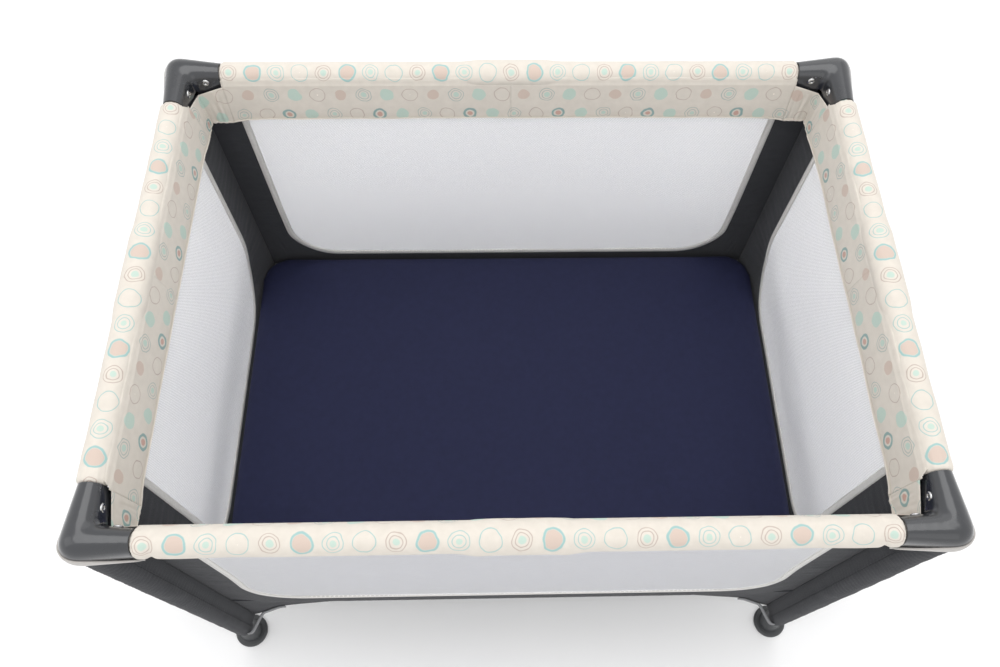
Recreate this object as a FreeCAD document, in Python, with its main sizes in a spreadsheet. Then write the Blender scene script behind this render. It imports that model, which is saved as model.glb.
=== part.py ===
import FreeCAD, Part
import Sketcher
import math
import os

# Folding playpen. +X is its length, +Y its width, +Z up. The origin is on the ground at its centre.
# Millimetres and degrees.

doc = FreeCAD.newDocument("playpen")
sheet = doc.addObject("Spreadsheet::Sheet", "Sizes")

SIZES = [
    # the whole
    ("outer_length", 1003, "over the corner covers, along X"),
    ("outer_width", 724, "over the corner covers, along Y"),
    ("rail_height", 702, "axis of the top rails above the ground"),
    ("frame_height", 206, "axis of the floor tubes above the ground"),
    # fold linkage
    ("rivet_gap", 1, "a rivet's head to the rounding between a cover's arms"),
    ("latch_pivot", 30, "middle of a rail to each of its latch pivots"),
    ("hub_pivot", 45, "hub centre to each floor tube's pivot"),
    ("pin_radius", 3, "every pivot pin"),
    ("pin_clearance", 0.05, "radial, between a pin and what turns on it"),
    # tubes
    ("rail_radius", 9.5, "rail tube, outside"),
    ("floor_radius", 8, "floor tube, outside"),
    ("leg_radius", 10, "leg tube, outside"),
    ("tube_wall", 1.2, "all the tubes"),
    ("tube_overrun", 10, "a tube's end past its pivot at the corners and the hub"),
    ("latch_overrun", 8, "a rail tube's end past its pivot in the latch"),
    ("swing_gap", 0.6, "between a tube's end and the wall that it turns past"),
    # corner mouldings
    ("cover_side_gap", 3.5, "between a roll that hangs down and the cover's side wall"),
    ("cover_mouth", 20, "rail pivot to the end of a cover's arm"),
    ("cover_wall", 3.5, "side wall and roof"),
    ("cover_roof_gap", 3, "a cover's roof above the top of the rolls"),
    ("cover_round", 9, "rounding of a cover's top edges"),
    ("cover_inner_round", 6, "rounding between a cover's two arms"),
    ("cover_skirt", 6, "joint between cover and base, below the rail axis"),
    ("base_below_roll", 6.5, "underside of a base below the rolls"),
    ("base_inset", 0.5, "how far a base stands in from its cover"),
    ("base_floor", 3, "thickness of a base's floor"),
    ("swing_side_gap", 1, "roll to the base's floor when the rail hangs down"),
    ("socket_wall", 3.5, "wall of a base's leg socket"),
    ("leg_head", 12, "top of a leg tube above the rail axis"),
    ("head_radius", 5.5, "rivet head"),
    ("head_height", 1.5, "rivet head"),
    # padded rail sleeves
    ("sleeve_radius", 18.5, "padded roll, outside"),
    ("sleeve_gap", 3, "bare tube between a cover's arm and the roll"),
    ("sleeve_latch_gap", 1.5, "end of a latch's cheek to the end of the roll"),
    # latches
    ("latch_side_gap", 1, "rail tube to a cheek"),
    ("cheek", 2.5, "thickness of a cheek"),
    ("latch_floor", 2, "thickness of a housing's floor"),
    ("button_length", 24, "push button along the rail"),
    ("button_width", 12, "push button across the rail"),
    ("button_proud", 3.5, "button below its housing"),
    ("button_height", 10, "whole button"),
    ("button_lip", 2, "retaining lip, out from the button and in thickness"),
    ("button_gap", 0.4, "between a button and its window"),
    # hub
    ("hub_past_pivot", 9, "hub pivots to the hub's rim"),
    ("hub_above", 1, "top of the hub above the floor tubes"),
    ("hub_below", 8, "underside of the hub below the floor tubes"),
    ("hub_edge", 2, "rounding of the hub's edges"),
    ("slot_gap", 0.75, "each side of a floor tube in its slot or clevis"),
    ("hub_hold", 6, "length of each pivot pin's end in the hub"),
    ("centre_post", 14, "radius of the post under the hub"),
    ("centre_foot", 30, "radius of the pad under the post"),
    ("foot_pad", 8, "thickness of the pads on the ground"),
    ("strap_length", 110, "pull strap on the hub"),
    ("strap_width", 25, "pull strap on the hub"),
    ("strap_thick", 1.5, "pull strap on the hub"),
    # feet
    ("glide_radius", 28, "round glide under each leg"),
    ("glide_edge", 3, "bevel of the glide's top edge"),
    ("ankle_height", 34, "top of the cone between glide and boss"),
    ("ankle_flare", 5.6, "foot of that cone, out from the boss"),
    ("boss_wall", 4, "wall of the moulding round the leg tube"),
    ("boss_above", 24, "top of that moulding above the floor tubes' axis"),
    ("socket_floor", 60, "foot of the leg tube above the ground"),
    ("ear_wall", 4, "thickness of a clevis ear"),
    ("ear_reach", 8, "pivot to the free end of an ear"),
    ("ear_margin", 2, "height of an ear above and below the floor tube"),
    ("arm_width", 14, "arm between boss and clevis"),
    # fabric and pad
    ("panel_thick", 3, "side panel"),
    ("panel_end_gap", 5, "side panel to the moulding round the leg"),
    ("panel_top_gap", 1, "side panel below the rolls and the push buttons"),
    ("panel_foot_gap", 1, "lower edge of the side panels above the clevises"),
    ("floor_gap", 1, "between the pull strap and the fabric floor"),
    ("floor_thick", 3, "fabric floor"),
    ("floor_edge_gap", 1, "between fabric floor and side panels"),
    ("hem_radius", 2, "rolled hem that the floor turns on"),
    ("pad_gap", 0.5, "between fabric floor and mattress"),
    ("pad_thick", 26, "mattress"),
    ("pad_end_gap", 1.5, "mattress to the side panels, along X"),
    ("pad_side_gap", 15, "mattress to the side panels, along Y"),
    ("pad_corner", 50, "mattress corner, seen from above"),
    ("pad_edge", 7, "rounding of the mattress edges"),
]


class Size:
    """A length that carries both its number and the sheet expression that gives it."""

    def __init__(self, value, text):
        self.value = value
        self.text = text

    def combine(self, other, sign, swap=False):
        other = other if isinstance(other, Size) else Size(float(other), repr(float(other)))
        first, second = (other, self) if swap else (self, other)
        result = {
            "+": lambda: first.value + second.value,
            "-": lambda: first.value - second.value,
            "*": lambda: first.value * second.value,
            "/": lambda: first.value / second.value,
        }[sign]()
        return Size(result, f"({first.text} {sign} {second.text})")

    def __add__(self, other):
        return self.combine(other, "+")

    def __radd__(self, other):
        return self.combine(other, "+", swap=True)

    def __sub__(self, other):
        return self.combine(other, "-")

    def __rsub__(self, other):
        return self.combine(other, "-", swap=True)

    def __mul__(self, other):
        return self.combine(other, "*")

    def __rmul__(self, other):
        return self.combine(other, "*", swap=True)

    def __truediv__(self, other):
        return self.combine(other, "/")

    def __neg__(self):
        return self.combine(-1.0, "*")

    def root(self):
        return Size(math.sqrt(self.value), f"sqrt({self.text})")

    def or_less(self, other):
        return Size(min(self.value, other.value), f"min({self.text}; {other.text})")


for row, (alias, number, meaning) in enumerate(SIZES, start=1):
    sheet.set(f"A{row}", meaning)
    sheet.set(f"B{row}", str(number))
    sheet.setAlias(f"B{row}", alias)
doc.recompute()
size = {alias: Size(float(getattr(sheet, alias)), f"Sizes.{alias}") for alias, _, _ in SIZES}
ZERO = Size(0.0, "0")
PAST = 1.2  # a cutter is this much longer than what it cuts

# ---------------------------------------------------------------- derived sizes and places

cover_half = size["sleeve_radius"] + size["cover_side_gap"] + size["cover_wall"]
corner_pivot = cover_half + size["cover_inner_round"] + size["head_radius"] + size["rivet_gap"]
cover_reach = corner_pivot + size["cover_mouth"]
cover_rise = size["sleeve_radius"] + size["cover_roof_gap"] + size["cover_wall"]
base_drop = size["sleeve_radius"] + size["base_below_roll"]
boss_radius = size["leg_radius"] + size["boss_wall"]
panel_end = boss_radius + size["panel_end_gap"]
leg_x = size["outer_length"] / 2 - cover_half
leg_y = size["outer_width"] / 2 - cover_half
rail_z = size["rail_height"]
frame_z = size["frame_height"]
# pivot to pivot, a half rail along X and along Y; the floor tube spans both at once,
# so all of them turn by the same angle when the legs draw in
half_rail_x = leg_x - corner_pivot - size["latch_pivot"]
half_rail_y = leg_y - corner_pivot - size["latch_pivot"]
floor_span = (half_rail_x * half_rail_x + half_rail_y * half_rail_y).root()
tube_cos = half_rail_x / floor_span
tube_sin = half_rail_y / floor_span
hub_pin_x = size["hub_pivot"] * tube_cos
hub_pin_y = size["hub_pivot"] * tube_sin
foot_pin_x = hub_pin_x + half_rail_x
foot_pin_y = hub_pin_y + half_rail_y
hole_radius = size["pin_radius"] + size["pin_clearance"]
slot_half = size["floor_radius"] + size["slot_gap"]
hub_radius = size["hub_pivot"] + size["hub_past_pivot"]
hub_top = size["floor_radius"] + size["hub_above"]
hub_bottom = size["floor_radius"] + size["hub_below"]
ear_height = (size["floor_radius"] + size["ear_margin"]) * 2
floor_low = frame_z + hub_top + size["strap_thick"] + size["floor_gap"]


def swing_reach(overrun, radius):
    """How far from its pivot the corner of a tube's end passes, with its clearance."""
    return (overrun * overrun + radius * radius).root() + size["swing_gap"]


floor_swing = swing_reach(size["tube_overrun"], size["floor_radius"])
latch_swing = swing_reach(size["latch_overrun"], size["rail_radius"])
latch_low = rail_z - latch_swing - size["latch_floor"]
button_low = latch_low - size["button_proud"]
panel_top = (rail_z - size["sleeve_radius"]).or_less(button_low) - size["panel_top_gap"]
panel_low = frame_z + ear_height / 2 + size["panel_foot_gap"]

CORNERS = {
    "front_left": (-1, -1, 0),
    "front_right": (1, -1, 90),
    "back_right": (1, 1, 180),
    "back_left": (-1, 1, 270),
}

X_AXIS = FreeCAD.Vector(1, 0, 0)
Y_AXIS = FreeCAD.Vector(0, 1, 0)
Z_AXIS = FreeCAD.Vector(0, 0, 1)

nodes = []


# ---------------------------------------------------------------- makers


def bind(thing, **sizes):
    """Set each property from the sheet."""
    for name, amount in sizes.items():
        amount = amount if isinstance(amount, Size) else Size(amount, repr(float(amount)))
        thing.setExpression(name, amount.text)


def stand(thing, x, y, z, turn=None):
    """Turn a thing, then bind its place to the sheet."""
    thing.Placement = FreeCAD.Placement(FreeCAD.Vector(), turn or FreeCAD.Rotation())
    for name, amount in (("x", x), ("y", y), ("z", z)):
        amount = amount if isinstance(amount, Size) else Size(amount, repr(float(amount)))
        thing.setExpression(f".Placement.Base.{name}", amount.text)


def block(along, across, high, x, y, low, heading=0.0):
    """A box centred over (x, y), standing on low, its length turned to heading degrees."""
    thing = doc.addObject("Part::Box", "block")
    bind(thing, Length=along, Width=across, Height=high)
    c, s = math.cos(math.radians(heading)), math.sin(math.radians(heading))
    corner_x = x - along * (c / 2) + across * (s / 2)
    corner_y = y - along * (s / 2) - across * (c / 2)
    stand(thing, corner_x, corner_y, low, FreeCAD.Rotation(Z_AXIS, heading))
    return thing


def rod(radius, length, x, y, z, direction=Z_AXIS):
    """A round bar that starts at (x, y, z) and runs along direction."""
    thing = doc.addObject("Part::Cylinder", "rod")
    bind(thing, Radius=radius, Height=length)
    stand(thing, x, y, z, FreeCAD.Rotation(Z_AXIS, direction))
    return thing


def fuse(*things):
    thing = doc.addObject("Part::MultiFuse", "fuse")
    thing.Shapes = list(things)
    return thing


def cut(base, *tools):
    thing = doc.addObject("Part::Cut", "cut")
    thing.Base = base
    thing.Tool = tools[0] if len(tools) == 1 else fuse(*tools)
    return thing


def node(thing, label):
    thing.Label = label
    nodes.append(thing)
    return thing


def body_at(x, y, z, heading=0.0):
    body = doc.addObject("PartDesign::Body", "body")
    stand(body, x, y, z, FreeCAD.Rotation(Z_AXIS, heading))
    return body


def sketch_on(body, role="XY_Plane", rise=None):
    """A sketch on one of the body's own planes, lifted by rise."""
    sketch = body.newObject("Sketcher::SketchObject", "sketch")
    plane = next(f for f in body.Origin.OriginFeatures if f.Role == role)
    sketch.AttachmentSupport = [(plane, "")]
    sketch.MapMode = "FlatFace"
    if rise is not None:
        sketch.setExpression(".AttachmentOffset.Base.z", rise.text)
    return sketch


def rule(sketch, name, kind, *where):
    """A named dimension on a sketch, bound to the sheet; the last entry is its size."""
    amount = where[-1]
    index = sketch.addConstraint(Sketcher.Constraint(kind, *where[:-1], amount.value))
    sketch.renameConstraint(index, name)
    sketch.setExpression(f"Constraints.{name}", amount.text)


def draw_circle(sketch, radius, u=None, v=None):
    """A circle round the sketch's origin, or at u or v along one of its axes."""
    middle = FreeCAD.Vector(u.value if u else 0, v.value if v else 0, 0)
    curve = sketch.addGeometry(Part.Circle(middle, Z_AXIS, radius.value))
    rule(sketch, "round", "Radius", curve, radius)
    if u:
        sketch.addConstraint(Sketcher.Constraint("PointOnObject", curve, 3, -1))
        rule(sketch, "offset", "DistanceX", -1, 1, curve, 3, u)
    elif v:
        sketch.addConstraint(Sketcher.Constraint("PointOnObject", curve, 3, -2))
        rule(sketch, "offset", "DistanceY", -1, 1, curve, 3, v)
    else:
        sketch.addConstraint(Sketcher.Constraint("Coincident", curve, 3, -1, 1))


def draw_rectangle(sketch, left, right, low, high):
    """A rectangle given by its four sides' places in the sketch."""
    corners = [(left, low), (right, low), (right, high), (left, high)]
    points = [FreeCAD.Vector(u.value, v.value, 0) for u, v in corners]
    lines = [
        sketch.addGeometry(Part.LineSegment(points[i], points[(i + 1) % 4])) for i in range(4)
    ]
    for i, line in enumerate(lines):
        sketch.addConstraint(Sketcher.Constraint("Coincident", line, 2, lines[(i + 1) % 4], 1))
        sketch.addConstraint(Sketcher.Constraint("Vertical" if i % 2 else "Horizontal", line))
    rule(sketch, "left", "DistanceX", -1, 1, lines[0], 1, left)
    rule(sketch, "right", "DistanceX", -1, 1, lines[1], 1, right)
    rule(sketch, "low", "DistanceY", -1, 1, lines[0], 1, low)
    rule(sketch, "high", "DistanceY", -1, 1, lines[2], 1, high)


def pad(body, sketch, length):
    feature = body.newObject("PartDesign::Pad", "pad")
    feature.Profile = sketch
    bind(feature, Length=length)
    return feature


def pocket(body, sketch, depth, both_ways=False):
    """Cut a sketch along the body's +Z, or both ways from the sketch's plane."""
    feature = body.newObject("PartDesign::Pocket", "pocket")
    feature.Profile = sketch
    feature.Reversed = not both_ways
    feature.Midplane = both_ways
    bind(feature, Length=depth)
    return feature


def round_edges(body, radius, wanted):
    """Round the edges of the body's tip that the test picks out."""
    doc.recompute()
    base = body.Tip
    names = [f"Edge{i}" for i, edge in enumerate(base.Shape.Edges, start=1) if wanted(edge)]
    feature = body.newObject("PartDesign::Fillet", "fillet")
    feature.Base = (base, names)
    bind(feature, Radius=radius)
    return feature


# ---------------------------------------------------------------- legs and corners


def leg_tube(name, sx, sy):
    low = size["socket_floor"]
    length = rail_z + size["leg_head"] - low
    outer = rod(size["leg_radius"], length, sx * leg_x, sy * leg_y, low)
    inner = rod(size["leg_radius"] - size["tube_wall"], length, sx * leg_x, sy * leg_y, low)
    node(cut(outer, inner), f"leg_tube_{name}")


def corner_outline(body, half_width, reach, length, rise):
    """An L of two arms along +X and +Y with a round outer corner."""
    for left, right, low, high in (
        (ZERO, reach, -half_width, half_width),
        (-half_width, half_width, ZERO, reach),
    ):
        sketch = sketch_on(body, rise=rise)
        draw_rectangle(sketch, left, right, low, high)
        yield sketch, length
    sketch = sketch_on(body, rise=rise)
    draw_circle(sketch, half_width)
    yield sketch, length


def corner_cover(name, sx, sy, heading):
    """Top shell: open below and at both arm ends, so a rail can swing down."""
    body = body_at(sx * leg_x, sy * leg_y, rail_z, heading)
    half, reach = cover_half, cover_reach
    bottom = -size["cover_skirt"]
    for sketch, length in corner_outline(body, half, reach, cover_rise - bottom, bottom):
        pad(body, sketch, length)
    top = cover_rise.value

    def inner_corner(edge):
        a, b = edge.Vertexes[0].Point, edge.Vertexes[-1].Point
        upright = abs(a.x - b.x) + abs(a.y - b.y) < 1e-6 and abs(a.z - b.z) > 1
        return upright and abs(a.x - half.value) < 1e-4 and abs(a.y - half.value) < 1e-4

    def crown(edge):
        points = [v.Point for v in edge.Vertexes]
        mouth = any(
            all(abs(getattr(p, axis) - reach.value) < 1e-4 for p in points) for axis in "xy"
        )
        return all(abs(p.z - top) < 1e-4 for p in points) and not mouth

    round_edges(body, size["cover_inner_round"], inner_corner)
    round_edges(body, size["cover_round"], crown)
    inside = half - size["cover_wall"]
    depth = cover_rise - size["cover_wall"] - bottom
    for sketch, length in corner_outline(body, inside, reach * PAST, depth, bottom):
        pocket(body, sketch, length)
    back = half * PAST
    cutters = [
        rod(size["pin_radius"], back * 2, x, y, z, axis)
        for x, y, z, axis in rivet_places(sx, sy, back)
    ]
    node(cut(body, *cutters), f"corner_cover_{name}")


def rivet_places(sx, sy, back):
    """Where the two rail pivots of a corner start, from outside, each crossing its arm."""
    across_x = (sx * (leg_x - corner_pivot), sy * (leg_y + back), rail_z, Y_AXIS * -sy)
    across_y = (sx * (leg_x + back), sy * (leg_y - corner_pivot), rail_z, X_AXIS * -sx)
    return across_x, across_y


def corner_rivets(name, sx, sy):
    """Two rivets, flush outside, with a round head on the inner face of each arm."""
    half = cover_half
    pieces = []
    for x, y, z, axis in rivet_places(sx, sy, half):
        shank = rod(size["pin_radius"], half * 2, x, y, z, axis)
        head = rod(
            size["head_radius"],
            size["head_height"],
            x + half * (2 * axis.x),
            y + half * (2 * axis.y),
            z,
            axis,
        )
        pieces.append(fuse(shank, head))
    group = doc.addObject("Part::Compound", "rivets")
    group.Links = pieces
    node(group, f"corner_rivets_{name}")


def corner_base(name, sx, sy, heading):
    """Lower shell: side walls, a floor round the leg and the leg's socket."""
    body = body_at(sx * leg_x, sy * leg_y, rail_z, heading)
    half = cover_half - size["base_inset"]
    reach = cover_reach - size["base_inset"]
    drop, skirt, thick = base_drop, size["cover_skirt"], size["base_floor"]
    for sketch, length in corner_outline(body, half, reach, drop - skirt, -drop):
        pad(body, sketch, length)
    inside = half - size["cover_wall"]
    depth = drop - skirt - thick
    for sketch, length in corner_outline(body, inside, reach * PAST, depth, thick - drop):
        pocket(body, sketch, length)
    # open the floor under each arm, where the roll hangs when the rail is folded
    pivot, wide = corner_pivot, reach * PAST
    swing = size["sleeve_radius"] + size["swing_side_gap"]
    for left, right, low, high in ((pivot, wide, -swing, swing), (-swing, swing, pivot, wide)):
        sketch = sketch_on(body, rise=-drop)
        draw_rectangle(sketch, left, right, low, high)
        pocket(body, sketch, thick)
    for place in ({"u": pivot}, {"v": pivot}):
        sketch = sketch_on(body, rise=-drop)
        draw_circle(sketch, swing, **place)
        pocket(body, sketch, thick)
    socket = rod(
        size["leg_radius"] + size["socket_wall"], drop, sx * leg_x, sy * leg_y, rail_z - drop
    )
    bore_low = rail_z - drop * PAST
    bore = rod(size["leg_radius"], drop * PAST * 2, sx * leg_x, sy * leg_y, bore_low)
    node(cut(fuse(body, socket), bore), f"corner_base_{name}")


def foot(name, sx, sy):
    """Glide, ankle, boss round the leg tube, and the clevis that holds a floor tube."""
    x, y = sx * leg_x, sy * leg_y
    glide = rod(size["glide_radius"], size["foot_pad"] - size["glide_edge"], x, y, 0.0)
    bevel = doc.addObject("Part::Cone", "bevel")
    bind(
        bevel,
        Radius1=size["glide_radius"],
        Radius2=size["glide_radius"] - size["glide_edge"],
        Height=size["glide_edge"],
    )
    stand(bevel, x, y, size["foot_pad"] - size["glide_edge"])
    ankle = doc.addObject("Part::Cone", "ankle")
    bind(
        ankle,
        Radius1=boss_radius + size["ankle_flare"],
        Radius2=boss_radius,
        Height=size["ankle_height"] - size["foot_pad"],
    )
    stand(ankle, x, y, size["foot_pad"])
    boss_top = frame_z + size["boss_above"]
    boss = rod(boss_radius, boss_top - size["foot_pad"], x, y, size["foot_pad"])
    # the clevis faces the hub
    heading = math.degrees(math.atan2(-sy * tube_sin.value, -sx * tube_cos.value))
    back = floor_swing + size["ear_wall"] / 2
    plate_x = sx * (foot_pin_x + back * tube_cos)
    plate_y = sy * (foot_pin_y + back * tube_sin)
    low = frame_z - ear_height / 2
    behind = floor_swing + size["ear_wall"]
    middle = (behind - size["ear_reach"]) / 2
    ears = block(
        size["ear_reach"] + behind,
        (slot_half + size["ear_wall"]) * 2,
        ear_height,
        sx * (foot_pin_x + middle * tube_cos),
        sy * (foot_pin_y + middle * tube_sin),
        low,
        heading,
    )
    slot = block(
        (size["ear_reach"] + floor_swing) * 2,
        slot_half * 2,
        ear_height * 2,
        sx * (foot_pin_x - size["ear_reach"] * tube_cos),
        sy * (foot_pin_y - size["ear_reach"] * tube_sin),
        low - ear_height / 2,
        heading,
    )
    gap_x, gap_y = sx * leg_x - plate_x, sy * leg_y - plate_y
    arm = block(
        (gap_x * gap_x + gap_y * gap_y).root(),
        size["arm_width"],
        ear_height,
        (sx * leg_x + plate_x) / 2,
        (sy * leg_y + plate_y) / 2,
        low,
        math.degrees(math.atan2(gap_y.value, gap_x.value)),
    )
    socket = rod(size["leg_radius"], boss_top, x, y, size["socket_floor"])
    pin_hole = floor_pin(sx, sy, foot_pin_x, foot_pin_y, True)
    node(cut(fuse(glide, bevel, ankle, boss, ears, arm), slot, socket, pin_hole), f"foot_{name}")


# ---------------------------------------------------------------- floor frame


def floor_pin(sx, sy, pin_x, pin_y, hole):
    """A pivot pin across a floor tube, or the hole that it turns in."""
    hold = size["hub_hold"] * PAST if hole else size["hub_hold"]
    half = slot_half + hold
    across = FreeCAD.Vector(-sy * tube_sin.value, sx * tube_cos.value, 0)
    x = sx * pin_x + half * sy * tube_sin
    y = sy * pin_y - half * sx * tube_cos
    return rod(hole_radius if hole else size["pin_radius"], half * 2, x, y, frame_z, across)


def floor_tube(name, sx, sy):
    """Hub to foot, with the pivot pins swaged in at both ends."""
    over = size["tube_overrun"]
    along = FreeCAD.Vector(sx * tube_cos.value, sy * tube_sin.value, 0)
    x = sx * (hub_pin_x - over * tube_cos)
    y = sy * (hub_pin_y - over * tube_sin)
    length = floor_span + over * 2
    outer = rod(size["floor_radius"], length, x, y, frame_z, along)
    inner = rod(size["floor_radius"] - size["tube_wall"], length, x, y, frame_z, along)
    hub_pin = floor_pin(sx, sy, hub_pin_x, hub_pin_y, False)
    foot_pin = floor_pin(sx, sy, foot_pin_x, foot_pin_y, False)
    node(fuse(cut(outer, inner), hub_pin, foot_pin), f"floor_tube_{name}")


def hub():
    """Round moulding with an open slot for each floor tube."""
    body = body_at(0.0, 0.0, frame_z)
    tall = hub_bottom + hub_top
    sketch = sketch_on(body, rise=-hub_bottom)
    draw_circle(sketch, hub_radius)
    pad(body, sketch, tall)
    round_edges(body, size["hub_edge"], lambda edge: len(edge.Vertexes) == 1)
    tools = []
    start = size["hub_pivot"] - floor_swing
    length = hub_radius * PAST - start
    for sx, sy, _ in CORNERS.values():
        heading = math.degrees(math.atan2(sy * tube_sin.value, sx * tube_cos.value))
        middle = start + length / 2
        place = sx * middle * tube_cos, sy * middle * tube_sin
        tools.append(block(length, slot_half * 2, tall * 2, *place, frame_z - tall, heading))
        tools.append(floor_pin(sx, sy, hub_pin_x, hub_pin_y, True))
    node(cut(body, *tools), "hub")


def hub_foot():
    """Post and pad that carry the middle of the floor."""
    top = frame_z - hub_bottom
    post = rod(size["centre_post"], top, 0.0, 0.0, 0.0)
    base = rod(size["centre_foot"], size["foot_pad"], 0.0, 0.0, 0.0)
    node(fuse(post, base), "hub_foot")


def hub_strap():
    """Webbing that pulls the hub up, laid flat on it."""
    long, wide, thick = size["strap_length"], size["strap_width"], size["strap_thick"]
    node(block(long, wide, thick, 0.0, 0.0, frame_z + hub_top), "hub_strap")


# ---------------------------------------------------------------- rails and latches

# name of a rail, and for each of its halves the half's name and which end it is at
RAILS = {
    "front": ("x", -1, {"left": -1, "right": 1}),
    "back": ("x", 1, {"left": -1, "right": 1}),
    "left": ("y", -1, {"front": -1, "back": 1}),
    "right": ("y", 1, {"front": -1, "back": 1}),
}


def on_rail(along, side, offset):
    """The point of a rail's axis that is offset from the rail's middle."""
    if along == "x":
        return offset, side * leg_y
    return side * leg_x, offset


def half_rail(rail, along, side, half, end):
    """A rail tube with its two cross holes, and the padded roll on it."""
    leg = leg_x if along == "x" else leg_y
    direction = (X_AXIS if along == "x" else Y_AXIS) * end
    across = Y_AXIS if along == "x" else X_AXIS
    pivot_out = leg - corner_pivot
    start = size["latch_pivot"] - size["latch_overrun"]
    length = pivot_out + size["tube_overrun"] - start
    outer = rod(size["rail_radius"], length, *on_rail(along, side, end * start), rail_z, direction)
    inner_radius = size["rail_radius"] - size["tube_wall"]
    inner = rod(inner_radius, length, *on_rail(along, side, end * start), rail_z, direction)
    holes = []
    reach = size["rail_radius"] * PAST
    for place in (size["latch_pivot"], pivot_out):
        x, y = on_rail(along, side, end * place)
        x, y = x - reach * across.x, y - reach * across.y
        holes.append(rod(hole_radius, reach * 2, x, y, rail_z, across))
    node(cut(outer, inner, *holes), f"rail_tube_{rail}_{half}")

    start = size["latch_pivot"] + latch_swing + size["sleeve_latch_gap"]
    length = leg - cover_reach - size["sleeve_gap"] - start
    place = on_rail(along, side, end * start)
    roll = rod(size["sleeve_radius"], length, *place, rail_z, direction)
    core = rod(size["rail_radius"], length, *place, rail_z, direction)
    node(cut(roll, core), f"rail_sleeve_{rail}_{half}")


def latch(rail, along, side):
    """U-shaped housing, open above, that both half rails turn in, and its push button."""
    heading = 0.0 if along == "x" else 90.0
    x, y = on_rail(along, side, ZERO)
    across = Y_AXIS if along == "x" else X_AXIS
    inside = size["rail_radius"] + size["latch_side_gap"]
    outside = inside + size["cheek"]
    full = (size["latch_pivot"] + latch_swing) * 2
    tray = block(full, outside * 2, rail_z - latch_low, x, y, latch_low, heading)
    raised = block(size["latch_pivot"] * 2, outside * 2, latch_swing, x, y, rail_z, heading)
    rounds = []
    pins = []
    for end in (-1, 1):
        px, py = on_rail(along, side, end * size["latch_pivot"])
        px, py = px - outside * across.x, py - outside * across.y
        rounds.append(rod(latch_swing, outside * 2, px, py, rail_z, across))
        pins.append(rod(size["pin_radius"], outside * 2, px, py, rail_z, across))
    hollow_low = rail_z - latch_swing
    hollow_high = latch_swing * PAST * 2
    hollow = block(full * PAST, inside * 2, hollow_high, x, y, hollow_low, heading)
    window = block(
        size["button_length"] + size["button_gap"] * 2,
        size["button_width"] + size["button_gap"] * 2,
        size["latch_floor"] * 3,
        x,
        y,
        latch_low - size["latch_floor"],
        heading,
    )
    shell = cut(fuse(tray, raised, *rounds), hollow, window)
    node(fuse(shell, *pins), f"latch_housing_{rail}")

    long, wide, high = size["button_length"], size["button_width"], size["button_height"]
    stem = block(long, wide, high, x, y, button_low, heading)
    lip = block(
        long + size["button_lip"] * 2,
        wide + size["button_lip"] * 2,
        size["button_lip"],
        x,
        y,
        latch_low + size["latch_floor"] + size["button_gap"] / 2,
        heading,
    )
    node(fuse(stem, lip), f"latch_button_{rail}")


# ---------------------------------------------------------------- fabric and pad


def side_panel(rail, along, side):
    leg = leg_x if along == "x" else leg_y
    heading = 0.0 if along == "x" else 90.0
    x, y = on_rail(along, side, ZERO)
    length = (leg - panel_end) * 2
    tall = panel_top - panel_low
    panel = block(length, size["panel_thick"], tall, x, y, panel_low, heading)
    node(panel, f"side_panel_{rail}")


def floor_half(name, side):
    """Half of the fabric floor, with the rolled hem that it turns on at its outer edge."""
    half_length = leg_x - panel_end
    outer = leg_y - size["panel_thick"] / 2 - size["floor_edge_gap"]
    hem_y = outer - size["hem_radius"]
    width = hem_y - size["floor_edge_gap"] / 2
    cloth_y = side * (size["floor_edge_gap"] / 2 + width / 2)
    cloth = block(half_length * 2, width, size["floor_thick"], ZERO, cloth_y, floor_low)
    hem_z = floor_low + size["floor_thick"] / 2
    hem = rod(size["hem_radius"], half_length * 2, -half_length, side * hem_y, hem_z, X_AXIS)
    node(fuse(cloth, hem), f"floor_{name}")


def mattress():
    low = floor_low + size["floor_thick"] + size["pad_gap"]
    half_x = leg_x - size["panel_thick"] / 2 - size["pad_end_gap"]
    half_y = leg_y - size["panel_thick"] / 2 - size["pad_side_gap"]
    body = body_at(0.0, 0.0, low)
    sketch = sketch_on(body)
    draw_rectangle(sketch, -half_x, half_x, -half_y, half_y)
    pad(body, sketch, size["pad_thick"])

    def upright(edge):
        return abs(edge.tangentAt(edge.FirstParameter).z) > 0.9

    round_edges(body, size["pad_corner"], upright)
    round_edges(body, size["pad_edge"], lambda edge: not upright(edge))
    node(body, "mattress")


# ---------------------------------------------------------------- assembly

for name, (sx, sy, heading) in CORNERS.items():
    leg_tube(name, sx, sy)
    corner_cover(name, sx, sy, heading)
    corner_base(name, sx, sy, heading)
    corner_rivets(name, sx, sy)
    foot(name, sx, sy)
    floor_tube(name, sx, sy)
hub()
hub_foot()
hub_strap()
for rail, (along, side, halves) in RAILS.items():
    for half, end in halves.items():
        half_rail(rail, along, side, half, end)
    latch(rail, along, side)
    side_panel(rail, along, side)
floor_half("front", -1)
floor_half("back", 1)
mattress()

doc.recompute()
for thing in doc.Objects:
    if {"Invalid", "Error"} & set(thing.State):
        raise RuntimeError(f"{thing.Name} {thing.Label} did not build: {thing.State}")
for thing in nodes:
    if thing.Shape.isNull() or not thing.Shape.isValid():
        raise RuntimeError(f"{thing.Label} has no valid shape")

os.makedirs("parts", exist_ok=True)
for thing in nodes:
    thing.Shape.exportStep(f"parts/{thing.Label}.step")
    box = thing.Shape.BoundBox
    solids = len(thing.Shape.Solids)
    print(f"{thing.Label}: {solids} solid(s), z {box.ZMin:.1f} to {box.ZMax:.1f}")
print(len(nodes), "nodes")
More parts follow.
